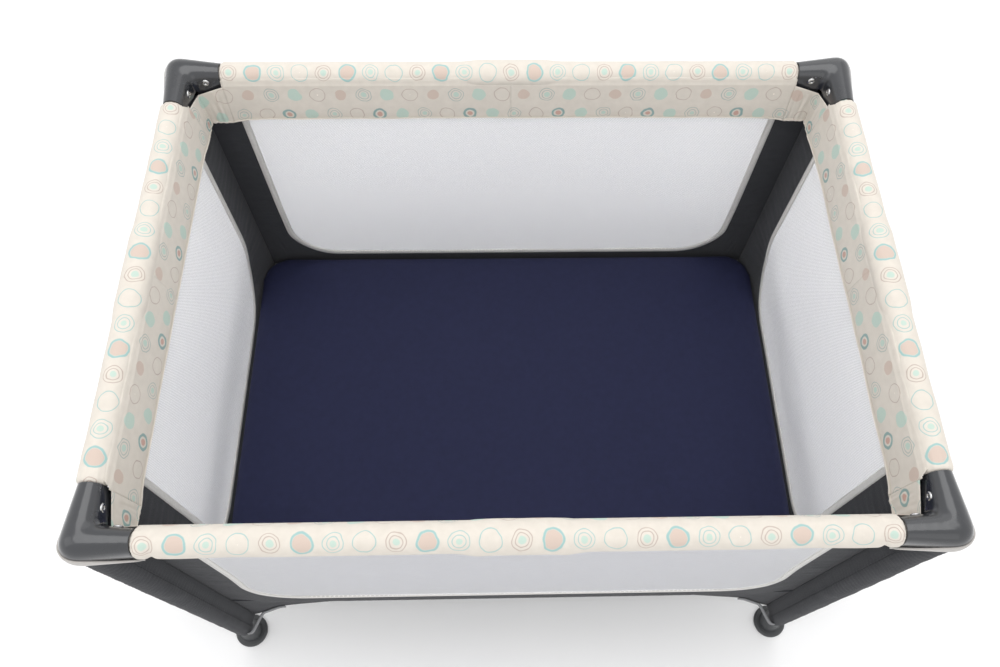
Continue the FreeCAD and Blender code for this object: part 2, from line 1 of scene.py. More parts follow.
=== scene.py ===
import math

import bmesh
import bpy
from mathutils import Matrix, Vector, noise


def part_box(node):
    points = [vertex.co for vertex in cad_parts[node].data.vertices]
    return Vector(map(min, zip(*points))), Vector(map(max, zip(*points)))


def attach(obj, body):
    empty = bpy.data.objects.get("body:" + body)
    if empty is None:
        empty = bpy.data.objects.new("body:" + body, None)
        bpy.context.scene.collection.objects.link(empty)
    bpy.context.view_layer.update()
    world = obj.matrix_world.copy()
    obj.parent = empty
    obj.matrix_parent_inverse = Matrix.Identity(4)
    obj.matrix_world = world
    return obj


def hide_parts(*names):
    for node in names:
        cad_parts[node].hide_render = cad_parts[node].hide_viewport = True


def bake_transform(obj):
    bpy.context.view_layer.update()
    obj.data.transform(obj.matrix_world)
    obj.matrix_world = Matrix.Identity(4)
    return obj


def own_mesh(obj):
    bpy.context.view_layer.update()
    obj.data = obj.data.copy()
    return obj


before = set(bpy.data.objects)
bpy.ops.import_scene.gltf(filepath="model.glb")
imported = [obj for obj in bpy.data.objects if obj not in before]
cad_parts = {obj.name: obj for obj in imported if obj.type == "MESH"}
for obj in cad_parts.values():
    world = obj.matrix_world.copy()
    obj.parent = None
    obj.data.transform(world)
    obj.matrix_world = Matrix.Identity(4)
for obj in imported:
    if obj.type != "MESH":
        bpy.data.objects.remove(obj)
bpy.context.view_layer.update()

# %% [markdown]
# # A folding playpen
# The metal and plastic skeleton comes from the CAD frame that was just loaded. This lesson
# dresses it: padded rolls on the top rails, charcoal walls with a fine net window, sleeves round
# the legs and a mattress in a fitted sheet. The fabric is what a parent sees, so most of the
# cells are about cloth. Every length is in metres. The places of the hard parts are read from
# the frame, so the cloth meets what holds it, and the cloth's own sizes are named values.


def middle(node):
    """The middle of a CAD node's box."""
    low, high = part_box(node)
    return (low + high) / 2


LEG_X, LEG_Y = middle("leg_tube_back_right").xy
RAIL_Z = middle("rail_sleeve_back_right").z
FLOOR_Z = middle("floor_back").z
# where a roll ends, from the middle of its rail, on a long and on a short side
ROLL_END = {
    "x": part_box("rail_sleeve_back_right")[1].x,
    "y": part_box("rail_sleeve_right_back")[1].y,
}
BASE_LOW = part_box("corner_base_back_right")[0].z

CORNERS = {
    "front_left": (-1, -1),
    "front_right": (1, -1),
    "back_right": (1, 1),
    "back_left": (-1, 1),
}
# each rail: the axis it runs along, the side of the playpen it is on, and its two halves
RAILS = {
    "front": ("x", -1, {"left": -1, "right": 1}),
    "back": ("x", 1, {"left": -1, "right": 1}),
    "left": ("y", -1, {"front": -1, "back": 1}),
    "right": ("y", 1, {"front": -1, "back": 1}),
}
print("legs stand at", round(LEG_X, 4), round(LEG_Y, 4), "rails run at height", round(RAIL_Z, 4))

# %% [markdown]
# ## Where a point of a wall is
# All four walls are alike, so it pays to describe the cloth once, in the wall's own terms: how
# far along the rail, how far inward from the rail's axis, and how high. One function turns that
# into a place in the room. The other choice, to model one wall and mirror it, would leave the
# folds of the cloth the same on both sides, which real cloth never shows.


# %% A point of a wall
def wall_point(rail, along, inward, height):
    """A place given along a rail, inward from its axis, and above the ground."""
    axis, side, _ = RAILS[rail]
    if axis == "x":
        return Vector((along, side * (LEG_Y - inward), height))
    return Vector((side * (LEG_X - inward), along, height))


def blendstep(low, high, value):
    """0 below low, 1 above high, and an eased rise between them."""
    share = min(max((value - low) / (high - low), 0.0), 1.0)
    return share * share * (3 - 2 * share)


def ripple(along, across, seed):
    """Smooth random rise and fall between about -1 and 1, the same on every run."""
    return noise.noise(Vector((along, across, seed)))


print("a point of the back wall:", tuple(round(c, 3) for c in wall_point("back", 0.1, 0, RAIL_Z)))

# %% [markdown]
# ## Cloth from a grid
# A piece of cloth starts flat: a grid with rows and columns. `bmesh.ops.create_grid` makes it,
# each vertex is then carried to its place on the finished piece, and where two edges of the grid
# meet, the doubles are merged into a tube. The flat grid also gives the UV map, in metres of
# cloth, so that a printed pattern or a weave follows the fabric round every bend.


# %% The cloth maker
def cloth(name, columns, rows, place, flat, material, thick=0.0, outward=None):
    """A grid carried to place(u, v), u and v from 0 to 1, with flat(u, v) as its UV in metres."""
    bm = bmesh.new()
    bmesh.ops.create_grid(bm, x_segments=columns, y_segments=rows, size=0.5)
    layer = bm.loops.layers.uv.new("cloth")
    for face in bm.faces:
        for loop in face.loops:
            loop[layer].uv = flat(loop.vert.co.x + 0.5, loop.vert.co.y + 0.5)
    for vert in bm.verts:
        vert.co = place(vert.co.x + 0.5, vert.co.y + 0.5)
    bmesh.ops.remove_doubles(bm, verts=bm.verts, dist=1e-6)
    bmesh.ops.recalc_face_normals(bm, faces=bm.faces)
    if outward is not None:
        bm.normal_update()
        facing = sum(face.normal.dot(outward(face.calc_center_median())) for face in bm.faces)
        if facing < 0:
            bmesh.ops.reverse_faces(bm, faces=bm.faces)
    return piece(name, bm, material, thick)


def piece(name, bm, material, thick=0.0):
    """Turn a bmesh into an object with a finish, smooth, and as thick as its cloth."""
    mesh = bpy.data.meshes.new(name)
    for face in bm.faces:
        face.smooth = True
    bm.to_mesh(mesh)
    bm.free()
    made = bpy.data.objects.new(name, mesh)
    bpy.context.scene.collection.objects.link(made)
    mesh.materials.append(material)
    if thick:
        wall = made.modifiers.new("cloth thickness", "SOLIDIFY")
        wall.thickness = thick
        wall.offset = 0.0
    return made


print("cloth maker ready")

# %% [markdown]
# ## Finishes
# Blender's Principled BSDF gives each surface its base colour, roughness and bump. Colours here
# are written as they look on a screen, 0 to 255, and turned into the linear light that the
# shader works in. Effects that several finishes share, the weave of a cloth and the fine grain
# of moulded plastic, are node groups, built once and placed in each material with its own values.


# %% Helpers for node trees
def tone(red, green, blue):
    """A screen colour as linear light."""
    linear = []
    for channel in (red, green, blue):
        share = channel / 255
        linear.append(share / 12.92 if share < 0.04045 else ((share + 0.055) / 1.055) ** 2.4)
    return (*linear, 1.0)


def feed(tree, node, inputs):
    """Link an input to a socket, or set it to a value."""
    for key, value in dict(inputs).items():
        if isinstance(value, bpy.types.NodeSocket):
            tree.links.new(value, node.inputs[key])
        else:
            node.inputs[key].default_value = value


def add(tree, kind, inputs=(), **settings):
    """A node with its settings, and its inputs linked or set."""
    made = tree.nodes.new("ShaderNode" + kind)
    for key, value in settings.items():
        setattr(made, key, value)
    feed(tree, made, inputs)
    return made


def calc(tree, operation, *values):
    """One sum on sockets or numbers."""
    return add(tree, "Math", dict(enumerate(values)), operation=operation).outputs[0]


def mix(tree, share, first, second):
    """One colour turning into another as share goes from 0 to 1."""
    node = add(tree, "Mix", {0: share, 6: first, 7: second}, data_type="RGBA")
    return node.outputs[2]


def step_down(tree, value, low, high):
    """1 below low and 0 above high, eased between."""
    node = add(
        tree,
        "MapRange",
        {0: value, 1: low, 2: high, 3: 1.0, 4: 0.0},
        interpolation_type="SMOOTHSTEP",
    )
    return node.outputs[0]


def new_group(name, inputs, outputs):
    """An empty shader group with named number, colour or vector sockets."""
    group = bpy.data.node_groups.new(name, "ShaderNodeTree")
    for label, kind, value in inputs:
        socket = group.interface.new_socket(label, in_out="INPUT", socket_type="NodeSocket" + kind)
        if value is not None:
            socket.default_value = value
    for label, kind in outputs:
        group.interface.new_socket(label, in_out="OUTPUT", socket_type="NodeSocket" + kind)
    return group, group.nodes.new("NodeGroupInput"), group.nodes.new("NodeGroupOutput")


def use(tree, group, inputs=()):
    """A group placed in a material."""
    made = tree.nodes.new("ShaderNodeGroup")
    made.node_tree = group
    feed(tree, made, inputs)
    return made


print("red 200 is", round(tone(200, 0, 0)[0], 3), "in linear light")

# %% [markdown]
# ### The weave
# A plain weave is a chequer of threads: in every other square the warp lies on top, in the rest
# the weft. Each thread is round, so its height is a half wave across it. A slow noise makes some
# threads a little lighter, as in real yarn. The group gives that height and that tint, and each
# material decides how strongly it uses them.

# %% Weave group
weave, source, sink = new_group(
    "Weave",
    [("Place", "Vector", None), ("Threads", "Float", 1200.0)],
    [("Height", "Float"), ("Tint", "Float")],
)
scaled = add(weave, "VectorMath", {0: source.outputs["Place"]}, operation="SCALE")
weave.links.new(source.outputs["Threads"], scaled.inputs[3])
axes = add(weave, "SeparateXYZ", {0: scaled.outputs[0]})
warp, weft = (
    calc(weave, "ABSOLUTE", calc(weave, "SINE", calc(weave, "MULTIPLY", axis, math.pi)))
    for axis in axes.outputs[:2]
)
squares = add(weave, "TexChecker", {0: scaled.outputs[0], 3: 1.0})
over = calc(weave, "MULTIPLY", warp, squares.outputs[1])
under = calc(weave, "MULTIPLY", weft, calc(weave, "SUBTRACT", 1.0, squares.outputs[1]))
weave.links.new(calc(weave, "ADD", over, under), sink.inputs["Height"])
yarn = add(weave, "TexNoise", {"Vector": source.outputs["Place"], "Scale": 90.0, "Detail": 4.0})
weave.links.new(yarn.outputs[0], sink.inputs["Tint"])
print("weave group has", len(weave.nodes), "nodes")

# %% Grain group
grain, source, sink = new_group(
    "Moulded grain",
    [("Place", "Vector", None), ("Size", "Float", 900.0)],
    [("Height", "Float"), ("Tint", "Float")],
)
pits = add(grain, "TexNoise", {"Vector": source.outputs["Place"], "Detail": 3.0})
grain.links.new(source.outputs["Size"], pits.inputs["Scale"])
clouds = add(grain, "TexNoise", {"Vector": source.outputs["Place"], "Scale": 28.0, "Detail": 5.0})
grain.links.new(pits.outputs[0], sink.inputs["Height"])
grain.links.new(clouds.outputs[0], sink.inputs["Tint"])
print("grain group has", len(grain.nodes), "nodes")


# %% Starting a material
def start_material(name, uv_map=None):
    """A material, its tree, its shader, and the coordinates that its patterns read."""
    made = bpy.data.materials.new(name)
    made.use_nodes = True
    tree = made.node_tree
    shader = tree.nodes["Principled BSDF"]
    if uv_map:
        place = add(tree, "UVMap", uv_map=uv_map).outputs[0]
    else:
        place = add(tree, "TexCoord").outputs["Object"]
    return made, tree, shader, place


def bump(tree, shader, height, strength, depth):
    """Let a height shape the shader's normal."""
    node = add(tree, "Bump", {"Height": height, "Strength": strength, "Distance": depth})
    tree.links.new(node.outputs[0], shader.inputs["Normal"])


def plastic(name, shade, dark, roughness, size=900.0, coat=0.0):
    """Moulded plastic: a clouded colour and a fine grain."""
    made, tree, shader, place = start_material(name)
    marks = use(tree, grain, {"Place": place, "Size": size})
    feed(tree, shader, {
        "Base Color": mix(tree, marks.outputs["Tint"], dark, shade),
        "Roughness": calc(tree, "MULTIPLY_ADD", marks.outputs["Tint"], 0.16, roughness - 0.08),
        "Coat Weight": coat,
        "Coat Roughness": 0.08,
    })
    bump(tree, shader, marks.outputs["Height"], 0.12, 0.0003)
    return made


def metal(name, shade, dark, roughness, plated=1.0):
    """Drawn tube or turned rivet: fine brushed streaks along it."""
    made, tree, shader, place = start_material(name)
    streaks = add(tree, "TexNoise", {"Vector": place, "Scale": 420.0, "Detail": 4.0})
    feed(tree, shader, {
        "Base Color": mix(tree, streaks.outputs[0], dark, shade),
        "Roughness": calc(tree, "MULTIPLY_ADD", streaks.outputs[0], 0.18, roughness - 0.09),
        "Metallic": plated,
    })
    bump(tree, shader, streaks.outputs[0], 0.08, 0.0002)
    return made


def woven(name, shade, dark, threads, strength=0.35, roughness=0.82, sheen=0.25):
    """Plain cloth: varied yarn colour, painted shade between threads, threads in relief, soft
    sheen.
    """
    made, tree, shader, place = start_material(name, "cloth")
    threads_up = use(tree, weave, {"Place": place, "Threads": threads})
    patchy = mix(tree, threads_up.outputs["Tint"], dark, shade)
    # painted shade: the yarn colour is darkened down to 0.7 in the hollows between the threads
    hollow_shade = calc(tree, "MULTIPLY_ADD", threads_up.outputs["Height"], 0.3, 0.7)
    yarn_with_painted_shade = add(tree, "VectorMath", {0: patchy}, operation="SCALE")
    tree.links.new(hollow_shade, yarn_with_painted_shade.inputs[3])
    feed(tree, shader, {
        "Base Color": yarn_with_painted_shade.outputs[0],
        "Roughness": roughness,
        "Sheen Weight": sheen,
        "Specular IOR Level": 0.25,
    })
    bump(tree, shader, threads_up.outputs["Height"], strength, 0.0004)
    return made


# %% [markdown]
# ### The finishes of the hard parts and the plain cloths
# The corner covers are glossy charcoal plastic, the shells under them light grey. The walls are
# charcoal polyester, whose threads are coarse enough to catch the light, with painted shade
# between them. The tape that binds the net window is a ribbed light grey.

# %% Hard finishes and plain cloths
cover_plastic = plastic("cover_plastic", tone(42, 44, 49), tone(34, 36, 40), 0.28, coat=0.8)
base_plastic = plastic("base_plastic", tone(186, 182, 178), tone(168, 164, 160), 0.42)
foot_plastic = plastic("foot_plastic", tone(66, 68, 70), tone(48, 50, 52), 0.45)
hub_plastic = plastic("hub_plastic", tone(58, 60, 62), tone(44, 46, 48), 0.5)
latch_plastic = plastic("latch_plastic", tone(70, 72, 76), tone(58, 60, 63), 0.45)
button_plastic = plastic("button_plastic", tone(150, 152, 156), tone(132, 134, 138), 0.4)
amber_plastic = plastic("amber_plastic", tone(176, 98, 20), tone(138, 70, 10), 0.35, coat=0.3)
rail_steel = metal("rail_steel", tone(214, 214, 216), tone(186, 186, 190), 0.28)
rivet_metal = metal("rivet_metal", tone(222, 222, 222), tone(190, 190, 190), 0.24)
leg_enamel = metal("leg_enamel", tone(92, 94, 98), tone(80, 82, 86), 0.4, plated=0.0)
charcoal_cloth = woven("charcoal_cloth", tone(60, 61, 65), tone(50, 51, 55), 1100.0, sheen=0.08)
floor_cloth = woven("floor_cloth", tone(58, 60, 64), tone(48, 50, 54), 900.0)
binding_tape = woven("binding_tape", tone(236, 234, 230), tone(220, 218, 214), 700.0, 0.6)
strap_web = woven("strap_web", tone(142, 143, 146), tone(120, 121, 124), 520.0, 0.8)
print("finishes so far:", len(bpy.data.materials))

# %% [markdown]
# ### The fine net
# The windows are a knitted net with small round holes, staggered from row to row. Cutting every
# hole into the mesh would take millions of faces, so the holes are made in the shader: the
# distance to the nearest hole centre sets Alpha. Two chequered lattices of points give the
# staggered rows, and the ridge round each hole gives a little relief. White yarn also lets light
# through and scatters it, which a rough transmission imitates: that is why the inside of a
# playpen is so bright.

# %% Net
NET_PITCH = 0.0024
NET_HOLE = 0.27
fine_net, tree, shader, place = start_material("fine_net", "cloth")
rows_apart = NET_PITCH * math.sqrt(3)
lattices = []
for shift_u, shift_v in ((0.0, 0.0), (0.5, 0.5)):
    parts = add(tree, "SeparateXYZ", {0: place})
    local = []
    for socket, pitch, shift in ((0, NET_PITCH, shift_u), (1, rows_apart, shift_v)):
        turns = calc(tree, "ADD", calc(tree, "DIVIDE", parts.outputs[socket], pitch), shift)
        offset = calc(tree, "SUBTRACT", calc(tree, "FRACT", turns), 0.5)
        local.append(calc(tree, "MULTIPLY", offset, pitch / NET_PITCH))
    squared = calc(tree, "MULTIPLY", local[0], local[0])
    lattices.append(calc(tree, "MULTIPLY_ADD", local[1], local[1], squared))
hole = calc(tree, "SQRT", calc(tree, "MINIMUM", *lattices))
thread = calc(tree, "SUBTRACT", 1.0, step_down(tree, hole, NET_HOLE - 0.05, NET_HOLE + 0.05))
tree.links.new(calc(tree, "MULTIPLY_ADD", thread, 0.55, 0.45), shader.inputs["Alpha"])
knit = add(tree, "TexNoise", {"Vector": place, "Scale": 60.0, "Detail": 3.0})
feed(tree, shader, {
    "Base Color": mix(tree, knit.outputs[0], tone(248, 249, 253), tone(254, 254, 255)),
    "Roughness": 0.9,
    "Transmission Weight": 0.4,
})
bump(tree, shader, thread, 0.4, 0.0004)
print("net holes", round(NET_HOLE * 2 * NET_PITCH * 1000, 2), "mm across")

# %% [markdown]
# ### The printed cloth
# The rolls are covered in cream cotton with rows of loosely drawn circles. The shader divides
# the cloth into cells, finds how far a point is from the middle of its cell, and bends that
# distance with noise so that no circle is perfect. Twelve motifs follow each other: four in a
# row, and three rows before the pattern repeats. Colour ramps set to constant are the lists of
# motifs: one holds the fill colours, one the line colours, and one the radii.

# %% The twelve motifs
CELL_U, CELL_V = 0.0336, 0.035
LARGEST = 0.016
CREAM = tone(245, 237, 226)
MINT, TEAL, TAUPE = tone(180, 204, 193), tone(132, 182, 182), tone(200, 180, 168)
BROWN, GREY, PINK = tone(164, 141, 132), tone(140, 162, 160), tone(192, 148, 134)
DARK_TEAL = tone(108, 152, 152)
# fill colour and radius, line colour, inner and outer line radius and line width, in mm
MOTIFS = [
    (MINT, 4.2, BROWN, 7.2, 10.8, 0.8),
    (TAUPE, 9.6, TEAL, 11.2, 11.2, 2.6),
    (MINT, 3.6, TEAL, 7.0, 11.4, 0.9),
    (CREAM, 0.1, TEAL, 11.9, 11.9, 1.0),
    (CREAM, 0.1, BROWN, 10.8, 10.8, 0.8),
    (TAUPE, 8.0, TAUPE, 8.0, 8.0, 0.8),
    (MINT, 4.0, GREY, 7.0, 10.6, 0.9),
    (MINT, 9.6, MINT, 9.6, 9.6, 0.8),
    (MINT, 9.0, MINT, 9.0, 9.0, 0.8),
    (MINT, 3.4, GREY, 6.6, 10.4, 0.8),
    (CREAM, 0.1, BROWN, 10.6, 10.6, 0.8),
    (PINK, 4.2, DARK_TEAL, 8.4, 8.4, 3.4),
]


def motif_ramp(tree, share, values):
    """A list of colours, read by a share from 0 to 1."""
    ramp = add(tree, "ValToRGB", {0: share})
    ramp.color_ramp.interpolation = "CONSTANT"
    for _ in range(len(values) - 2):
        ramp.color_ramp.elements.new(0.5)
    for index, value in enumerate(values):
        ramp.color_ramp.elements[index].position = index / len(values)
        ramp.color_ramp.elements[index].color = value
    return ramp


# %% The print
print_cloth, tree, shader, place = start_material("print_cloth", "cloth")
wobble = add(tree, "TexNoise", {"Vector": place, "Scale": 70.0, "Detail": 1.5})
parts = add(tree, "SeparateXYZ", {0: place})
row_turns = calc(tree, "DIVIDE", parts.outputs[1], CELL_V)
row = calc(tree, "ROUND", row_turns)
from_row = calc(tree, "MULTIPLY", calc(tree, "SUBTRACT", row_turns, row), CELL_V)
column_turns = calc(
    tree, "ADD", calc(tree, "DIVIDE", parts.outputs[0], CELL_U), calc(tree, "MULTIPLY", row, 0.42)
)
column = calc(tree, "ROUND", column_turns)
from_column = calc(tree, "MULTIPLY", calc(tree, "SUBTRACT", column_turns, column), CELL_U)
squeeze = calc(tree, "MULTIPLY", from_row, 0.97)
span = calc(
    tree,
    "SQRT",
    calc(tree, "MULTIPLY_ADD", squeeze, squeeze, calc(tree, "MULTIPLY", from_column, from_column)),
)
lump = calc(tree, "MULTIPLY", calc(tree, "SUBTRACT", wobble.outputs[0], 0.5), 0.0055)
reach = calc(tree, "ADD", span, lump)
in_row = calc(tree, "FLOORED_MODULO", column, 4.0)
rows_down = calc(tree, "MULTIPLY", calc(tree, "FLOORED_MODULO", row, 3.0), 4.0)
share = calc(tree, "DIVIDE", calc(tree, "ADD", calc(tree, "ADD", in_row, rows_down), 0.5), 12.0)
fills = motif_ramp(tree, share, [motif[0] for motif in MOTIFS])
lines = motif_ramp(tree, share, [motif[2] for motif in MOTIFS])
MM = 0.001 / LARGEST
radii = motif_ramp(
    tree, share, [(m[1] * MM, m[3] * MM, m[4] * MM, m[5] * MM) for m in MOTIFS]
)
radius = add(tree, "SeparateColor", {0: radii.outputs["Color"]})
measure = calc(tree, "DIVIDE", reach, LARGEST)
soft = 0.5 * MM
filled = step_down(
    tree,
    calc(tree, "SUBTRACT", measure, radius.outputs[0]),
    -soft,
    soft,
)
drawn = 0.0
for ring in (1, 2):
    away = calc(tree, "ABSOLUTE", calc(tree, "SUBTRACT", measure, radius.outputs[ring]))
    half_width = calc(tree, "MULTIPLY", radii.outputs["Alpha"], 0.5)
    on_line = step_down(tree, calc(tree, "SUBTRACT", away, half_width), -soft, soft)
    drawn = calc(tree, "MAXIMUM", drawn, on_line)
threads_up = use(tree, weave, {"Place": place, "Threads": 1500.0})
cream_cloth = mix(tree, threads_up.outputs["Tint"], tone(204, 197, 187), tone(220, 213, 203))
with_fills = mix(tree, calc(tree, "MULTIPLY", filled, 0.85), cream_cloth, fills.outputs[0])
with_lines = mix(tree, calc(tree, "MULTIPLY", drawn, 0.8), with_fills, lines.outputs[0])
feed(tree, shader, {"Base Color": with_lines, "Roughness": 0.85, "Sheen Weight": 0.15})
bump(tree, shader, threads_up.outputs["Height"], 0.25, 0.0003)
print("print repeats every", round(4 * CELL_U * 1000), "mm along the cloth")

# %% [markdown]
# ## The padded rolls
# Each top rail folds in its middle, so its roll is two pieces that meet there. A roll is foam
# round a tube with printed cloth sewn over it. The grid is wrapped into a tube round the rail's
# axis, and its radius changes along the way: it swells over the latch, which sits inside the
# middle of the rail, is gathered to the bare tube at the corner, and has a puff there; the front
# roll also has a neck where the cloth is tied.

# %% Rolls
ROLL_RADIUS = 0.0174
PUCKER = 0.007
END_RADIUS = 0.0112
NECK = 0.0195
# how far from the leg the corner covers reach, which is where a roll comes out of its mouth
COVER_REACH = {"x": 0.058, "y": 0.0635}
MOUTH = {"x": LEG_X - COVER_REACH["x"], "y": LEG_Y - COVER_REACH["y"]}
AROUND, ALONG = 48, 150


def roll_radius(rail, along, angle):
    """The roll's radius at a distance from the middle, and at an angle from the top."""
    to_mouth = MOUTH[RAILS[rail][0]] - along
    # over the latch the roll is thicker, most of all below, where the latch reaches down
    over_latch = 1 - blendstep(0.045, 0.075, along)
    radius = ROLL_RADIUS + (0.0021 + 0.0012 * max(-math.cos(angle), 0.0)) * over_latch
    radius += 0.0007 * ripple(along * 22, angle * 0.9, hash_of(rail))
    # creases under the latch, where the cloth is slack
    slack = (1 - blendstep(0.05, 0.12, along)) * max(-math.cos(angle), 0.0)
    radius += 0.0016 * slack * ripple(along * 70, angle * 1.3, hash_of(rail) + 5)
    if rail == "front":
        # the neck is not drawn in on the inner side, where the flap starts
        outside = 1 - blendstep(0.1, 0.7, math.sin(angle))
        radius -= 0.0026 * outside * math.exp(-(((to_mouth - NECK) / 0.004) ** 2))
    pleats = math.exp(-max(to_mouth, 0.0) / 0.016)
    radius += 0.0007 * pleats * math.sin(angle * 13 + 2.5 * ripple(along * 40, angle, 2))
    return END_RADIUS + (radius - END_RADIUS) * out_of_mouth(to_mouth)


def out_of_mouth(distance):
    """How far the cloth has swelled at a distance out of the mouth of a cover, from 0 to 1."""
    share = min(max(distance / PUCKER, 0.0), 1.0)
    return math.sqrt(1 - (1 - share) ** 2)


def hash_of(rail):
    """A different number for each rail, so that no two are creased alike."""
    return 10.0 * list(RAILS).index(rail)


def make_roll(rail, half, end):
    axis = RAILS[rail][0]
    length = max(ROLL_END[axis], MOUTH[axis]) + 0.004

    def place(u, v):
        # rows crowd together towards the gathered end
        along = length * (1 - (1 - u) ** 1.25)
        angle = 2 * math.pi * v - math.pi
        radius = roll_radius(rail, along, angle)
        return wall_point(
            rail, end * along, radius * math.sin(angle), RAIL_Z + radius * math.cos(angle)
        )

    def flat(u, v):
        return end * length * (1 - (1 - u) ** 1.25), (2 * math.pi * v - math.pi) * ROLL_RADIUS

    made = cloth(
        f"printed_roll_{rail}_{half}", ALONG, AROUND, place, shift_print(rail, flat), print_cloth,
        outward=lambda p: across(rail, p),
    )
    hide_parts(f"rail_sleeve_{rail}_{half}")
    wall_point(rail, end * 0.055, 0, RAIL_Z)
    wall_point(rail, end * 0.005, 0, RAIL_Z)
    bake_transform(made)


def across(rail, point):
    """From a rail's axis out to a point beside it."""
    axis, side, _ = RAILS[rail]
    if axis == "x":
        return Vector((0, point.y - side * LEG_Y, point.z - RAIL_Z))
    return Vector((point.x - side * LEG_X, 0, point.z - RAIL_Z))


PRINT_SHIFT = {
    "front": (0.0, 0.008),
    "back": (0.0, -0.011),
    "left": (0.01, -0.004),
    "right": (0.02, -0.004),
}


def shift_print(rail, flat):
    """Where the pattern starts on a rail."""
    along, around = PRINT_SHIFT[rail]

    def shifted(u, v):
        first, second = flat(u, v)
        return first + along, second + around

    return shifted


for rail, (_, _, halves) in RAILS.items():
    for half, end in halves.items():
        make_roll(rail, half, end)

# %% [markdown]
# ## The inner flaps
# On the inside of the playpen the printed cloth doesn't stop under the roll: it hangs on as a
# flap that hides the top of the net. Its upper edge slips under the roll's surface just above
# the middle, so the print runs on without a step, and its lower edge is a rolled hem.

# %% Flaps
FLAP_DROP = 0.0612
FLAP_LEAN = 0.0080
HEM = 0.0014
HEM_LENGTH = HEM * 1.4 * math.pi
PRINT_THICK = 0.0006
FLAP_OVERLAP = 0.009
CORNER_DROP = 0.13


def flap_profile(down):
    """Inward distance and height of the flap, down from the level of the rail's axis."""
    if down < 0:
        angle = math.pi / 2 + down / ROLL_RADIUS
        radius = ROLL_RADIUS + 0.0005 + 0.1 * down
        return radius * math.sin(angle), RAIL_Z + radius * math.cos(angle)
    inward = ROLL_RADIUS + 0.0005 + FLAP_LEAN * blendstep(-0.02, FLAP_DROP, down)
    if down <= FLAP_DROP:
        return inward, RAIL_Z - down
    curl = (down - FLAP_DROP) / HEM
    return inward + HEM * (1 - math.cos(curl)), RAIL_Z - FLAP_DROP - HEM * math.sin(curl)


def flap_wave(rail, along, down, to_corner):
    """How far slack cloth stands off, more towards the hem and near the corners."""
    free = blendstep(0.0, 0.05, down)
    wave = 0.0014 * free * ripple(along * 14, down * 10, hash_of(rail) + 3)
    pinch = math.exp(-max(to_corner, 0) / 0.03)
    wave += 0.0012 * free * pinch * ripple(along * 80, down * 30, hash_of(rail) + 4)
    return wave * blendstep(0.0, 0.012, to_corner)


def make_flap(rail, half, end):
    axis = RAILS[rail][0]
    length = ROLL_END[axis] + 0.0028
    rows_down = FLAP_OVERLAP + FLAP_DROP + HEM_LENGTH

    def place(u, v):
        along, down = length * u - 0.0008, rows_down * v - FLAP_OVERLAP
        if down < 0:
            down *= out_of_mouth(MOUTH[axis] - along)
        to_corner = length - along
        inward, height = flap_profile(down)
        inward += flap_wave(rail, end * along, down, to_corner)
        height -= max(down, 0.0) * CORNER_DROP * math.exp(-to_corner / 0.03)
        return wall_point(rail, end * along, inward, height)

    def flat(u, v):
        down = rows_down * v - FLAP_OVERLAP
        return end * length * u, math.pi / 2 * ROLL_RADIUS + down

    made = cloth(
        f"inner_flap_{rail}_{half}", 110, 34, place, shift_print(rail, flat), print_cloth,
        thick=PRINT_THICK, outward=lambda p: across(rail, p),
    )
    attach(made, f"rail_{rail}_{half}")
    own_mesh(made)


for rail, (_, _, halves) in RAILS.items():
    for half, end in halves.items():
        make_flap(rail, half, end)
print("flaps hang", round(FLAP_DROP * 1000), "mm below the axis of the rail")

# %% [markdown]
# ## The corner gussets
# Under each corner cover the flaps of two rails are sewn together, and the cloth is bunched
# where it turns the corner. That bit belongs to the leg: it stays put when the rails fold. It is
# one strip that starts under one arm of the cover, turns the corner and ends under the other,
# with small upright pleats that grow down from its top edge and fade towards its ends.

# %% Gussets
GUSSET_TOP = 0.0048
GUSSET_DIP = 0.012


def make_gusset(corner, sx, sy):
    rail = "front" if sy < 0 else "back"
    depth = FLAP_DROP - GUSSET_TOP + HEM_LENGTH

    def place(u, v):
        turn = u * 2 - 1
        dip = GUSSET_DIP * (1 - abs(turn)) * (1 - v)
        down = GUSSET_TOP + depth * v + dip
        inward, height = flap_profile(down)
        height -= down * CORNER_DROP
        pleat = 0.0016 * ripple(u * 14, v * 1.5, 3 * sx + sy) * blendstep(0, 0.3, v)
        inward += pleat * blendstep(0, 0.1, u) * blendstep(0, 0.1, 1 - u)
        arm_x = LEG_X - inward - (ROLL_END["x"] + 0.0016)
        arm_y = LEG_Y - inward - (ROLL_END["y"] + 0.0016)
        if turn <= 0:
            return Vector((sx * (LEG_X - inward + turn * arm_x), sy * (LEG_Y - inward), height))
        return Vector((sx * (LEG_X - inward), sy * (LEG_Y - inward - turn * arm_y), height))

    def flat(u, v):
        down = GUSSET_TOP + depth * v
        along = sx * (LEG_X - 0.025 + (u * 2 - 1) * 0.036)
        return shift_print(rail, lambda a, b: (along, math.pi / 2 * ROLL_RADIUS + down))(u, v)

    made = cloth(
        f"corner_gusset_{corner}", 64, 20, place, flat, print_cloth, thick=PRINT_THICK,
        outward=lambda p: Vector((-sx, -sy, 0)),
    )
    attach(made, f"leg_{corner}")


for corner, (sx, sy) in CORNERS.items():
    make_gusset(corner, sx, sy)
print("gussets start", round(GUSSET_TOP * 1000, 1), "mm below the axis of the rails")

# %% [markdown]
# ## The walls
# Each wall is a charcoal frame of cloth on three sides of a big net window with round lower
# corners, and a light tape binds the edge of the net. The wall hangs from the inner side of the
# roll, the mattress pushes it out a little lower down, and its lower edge is arched: highest in
# the middle, lowest at the legs. The frame is a grid in the shape of a U, from the edge of the
# window out to the edge of the wall; the net is a grid whose rows get shorter in the corners.

# %% The shape of a wall
WALL_TOP = RAIL_Z - 0.0125
WALL_INSET = 0.0198
WINDOW_LOW = {"front": 0.264, "back": 0.249, "left": 0.231, "right": 0.231}
WINDOW_ROUND = 0.08
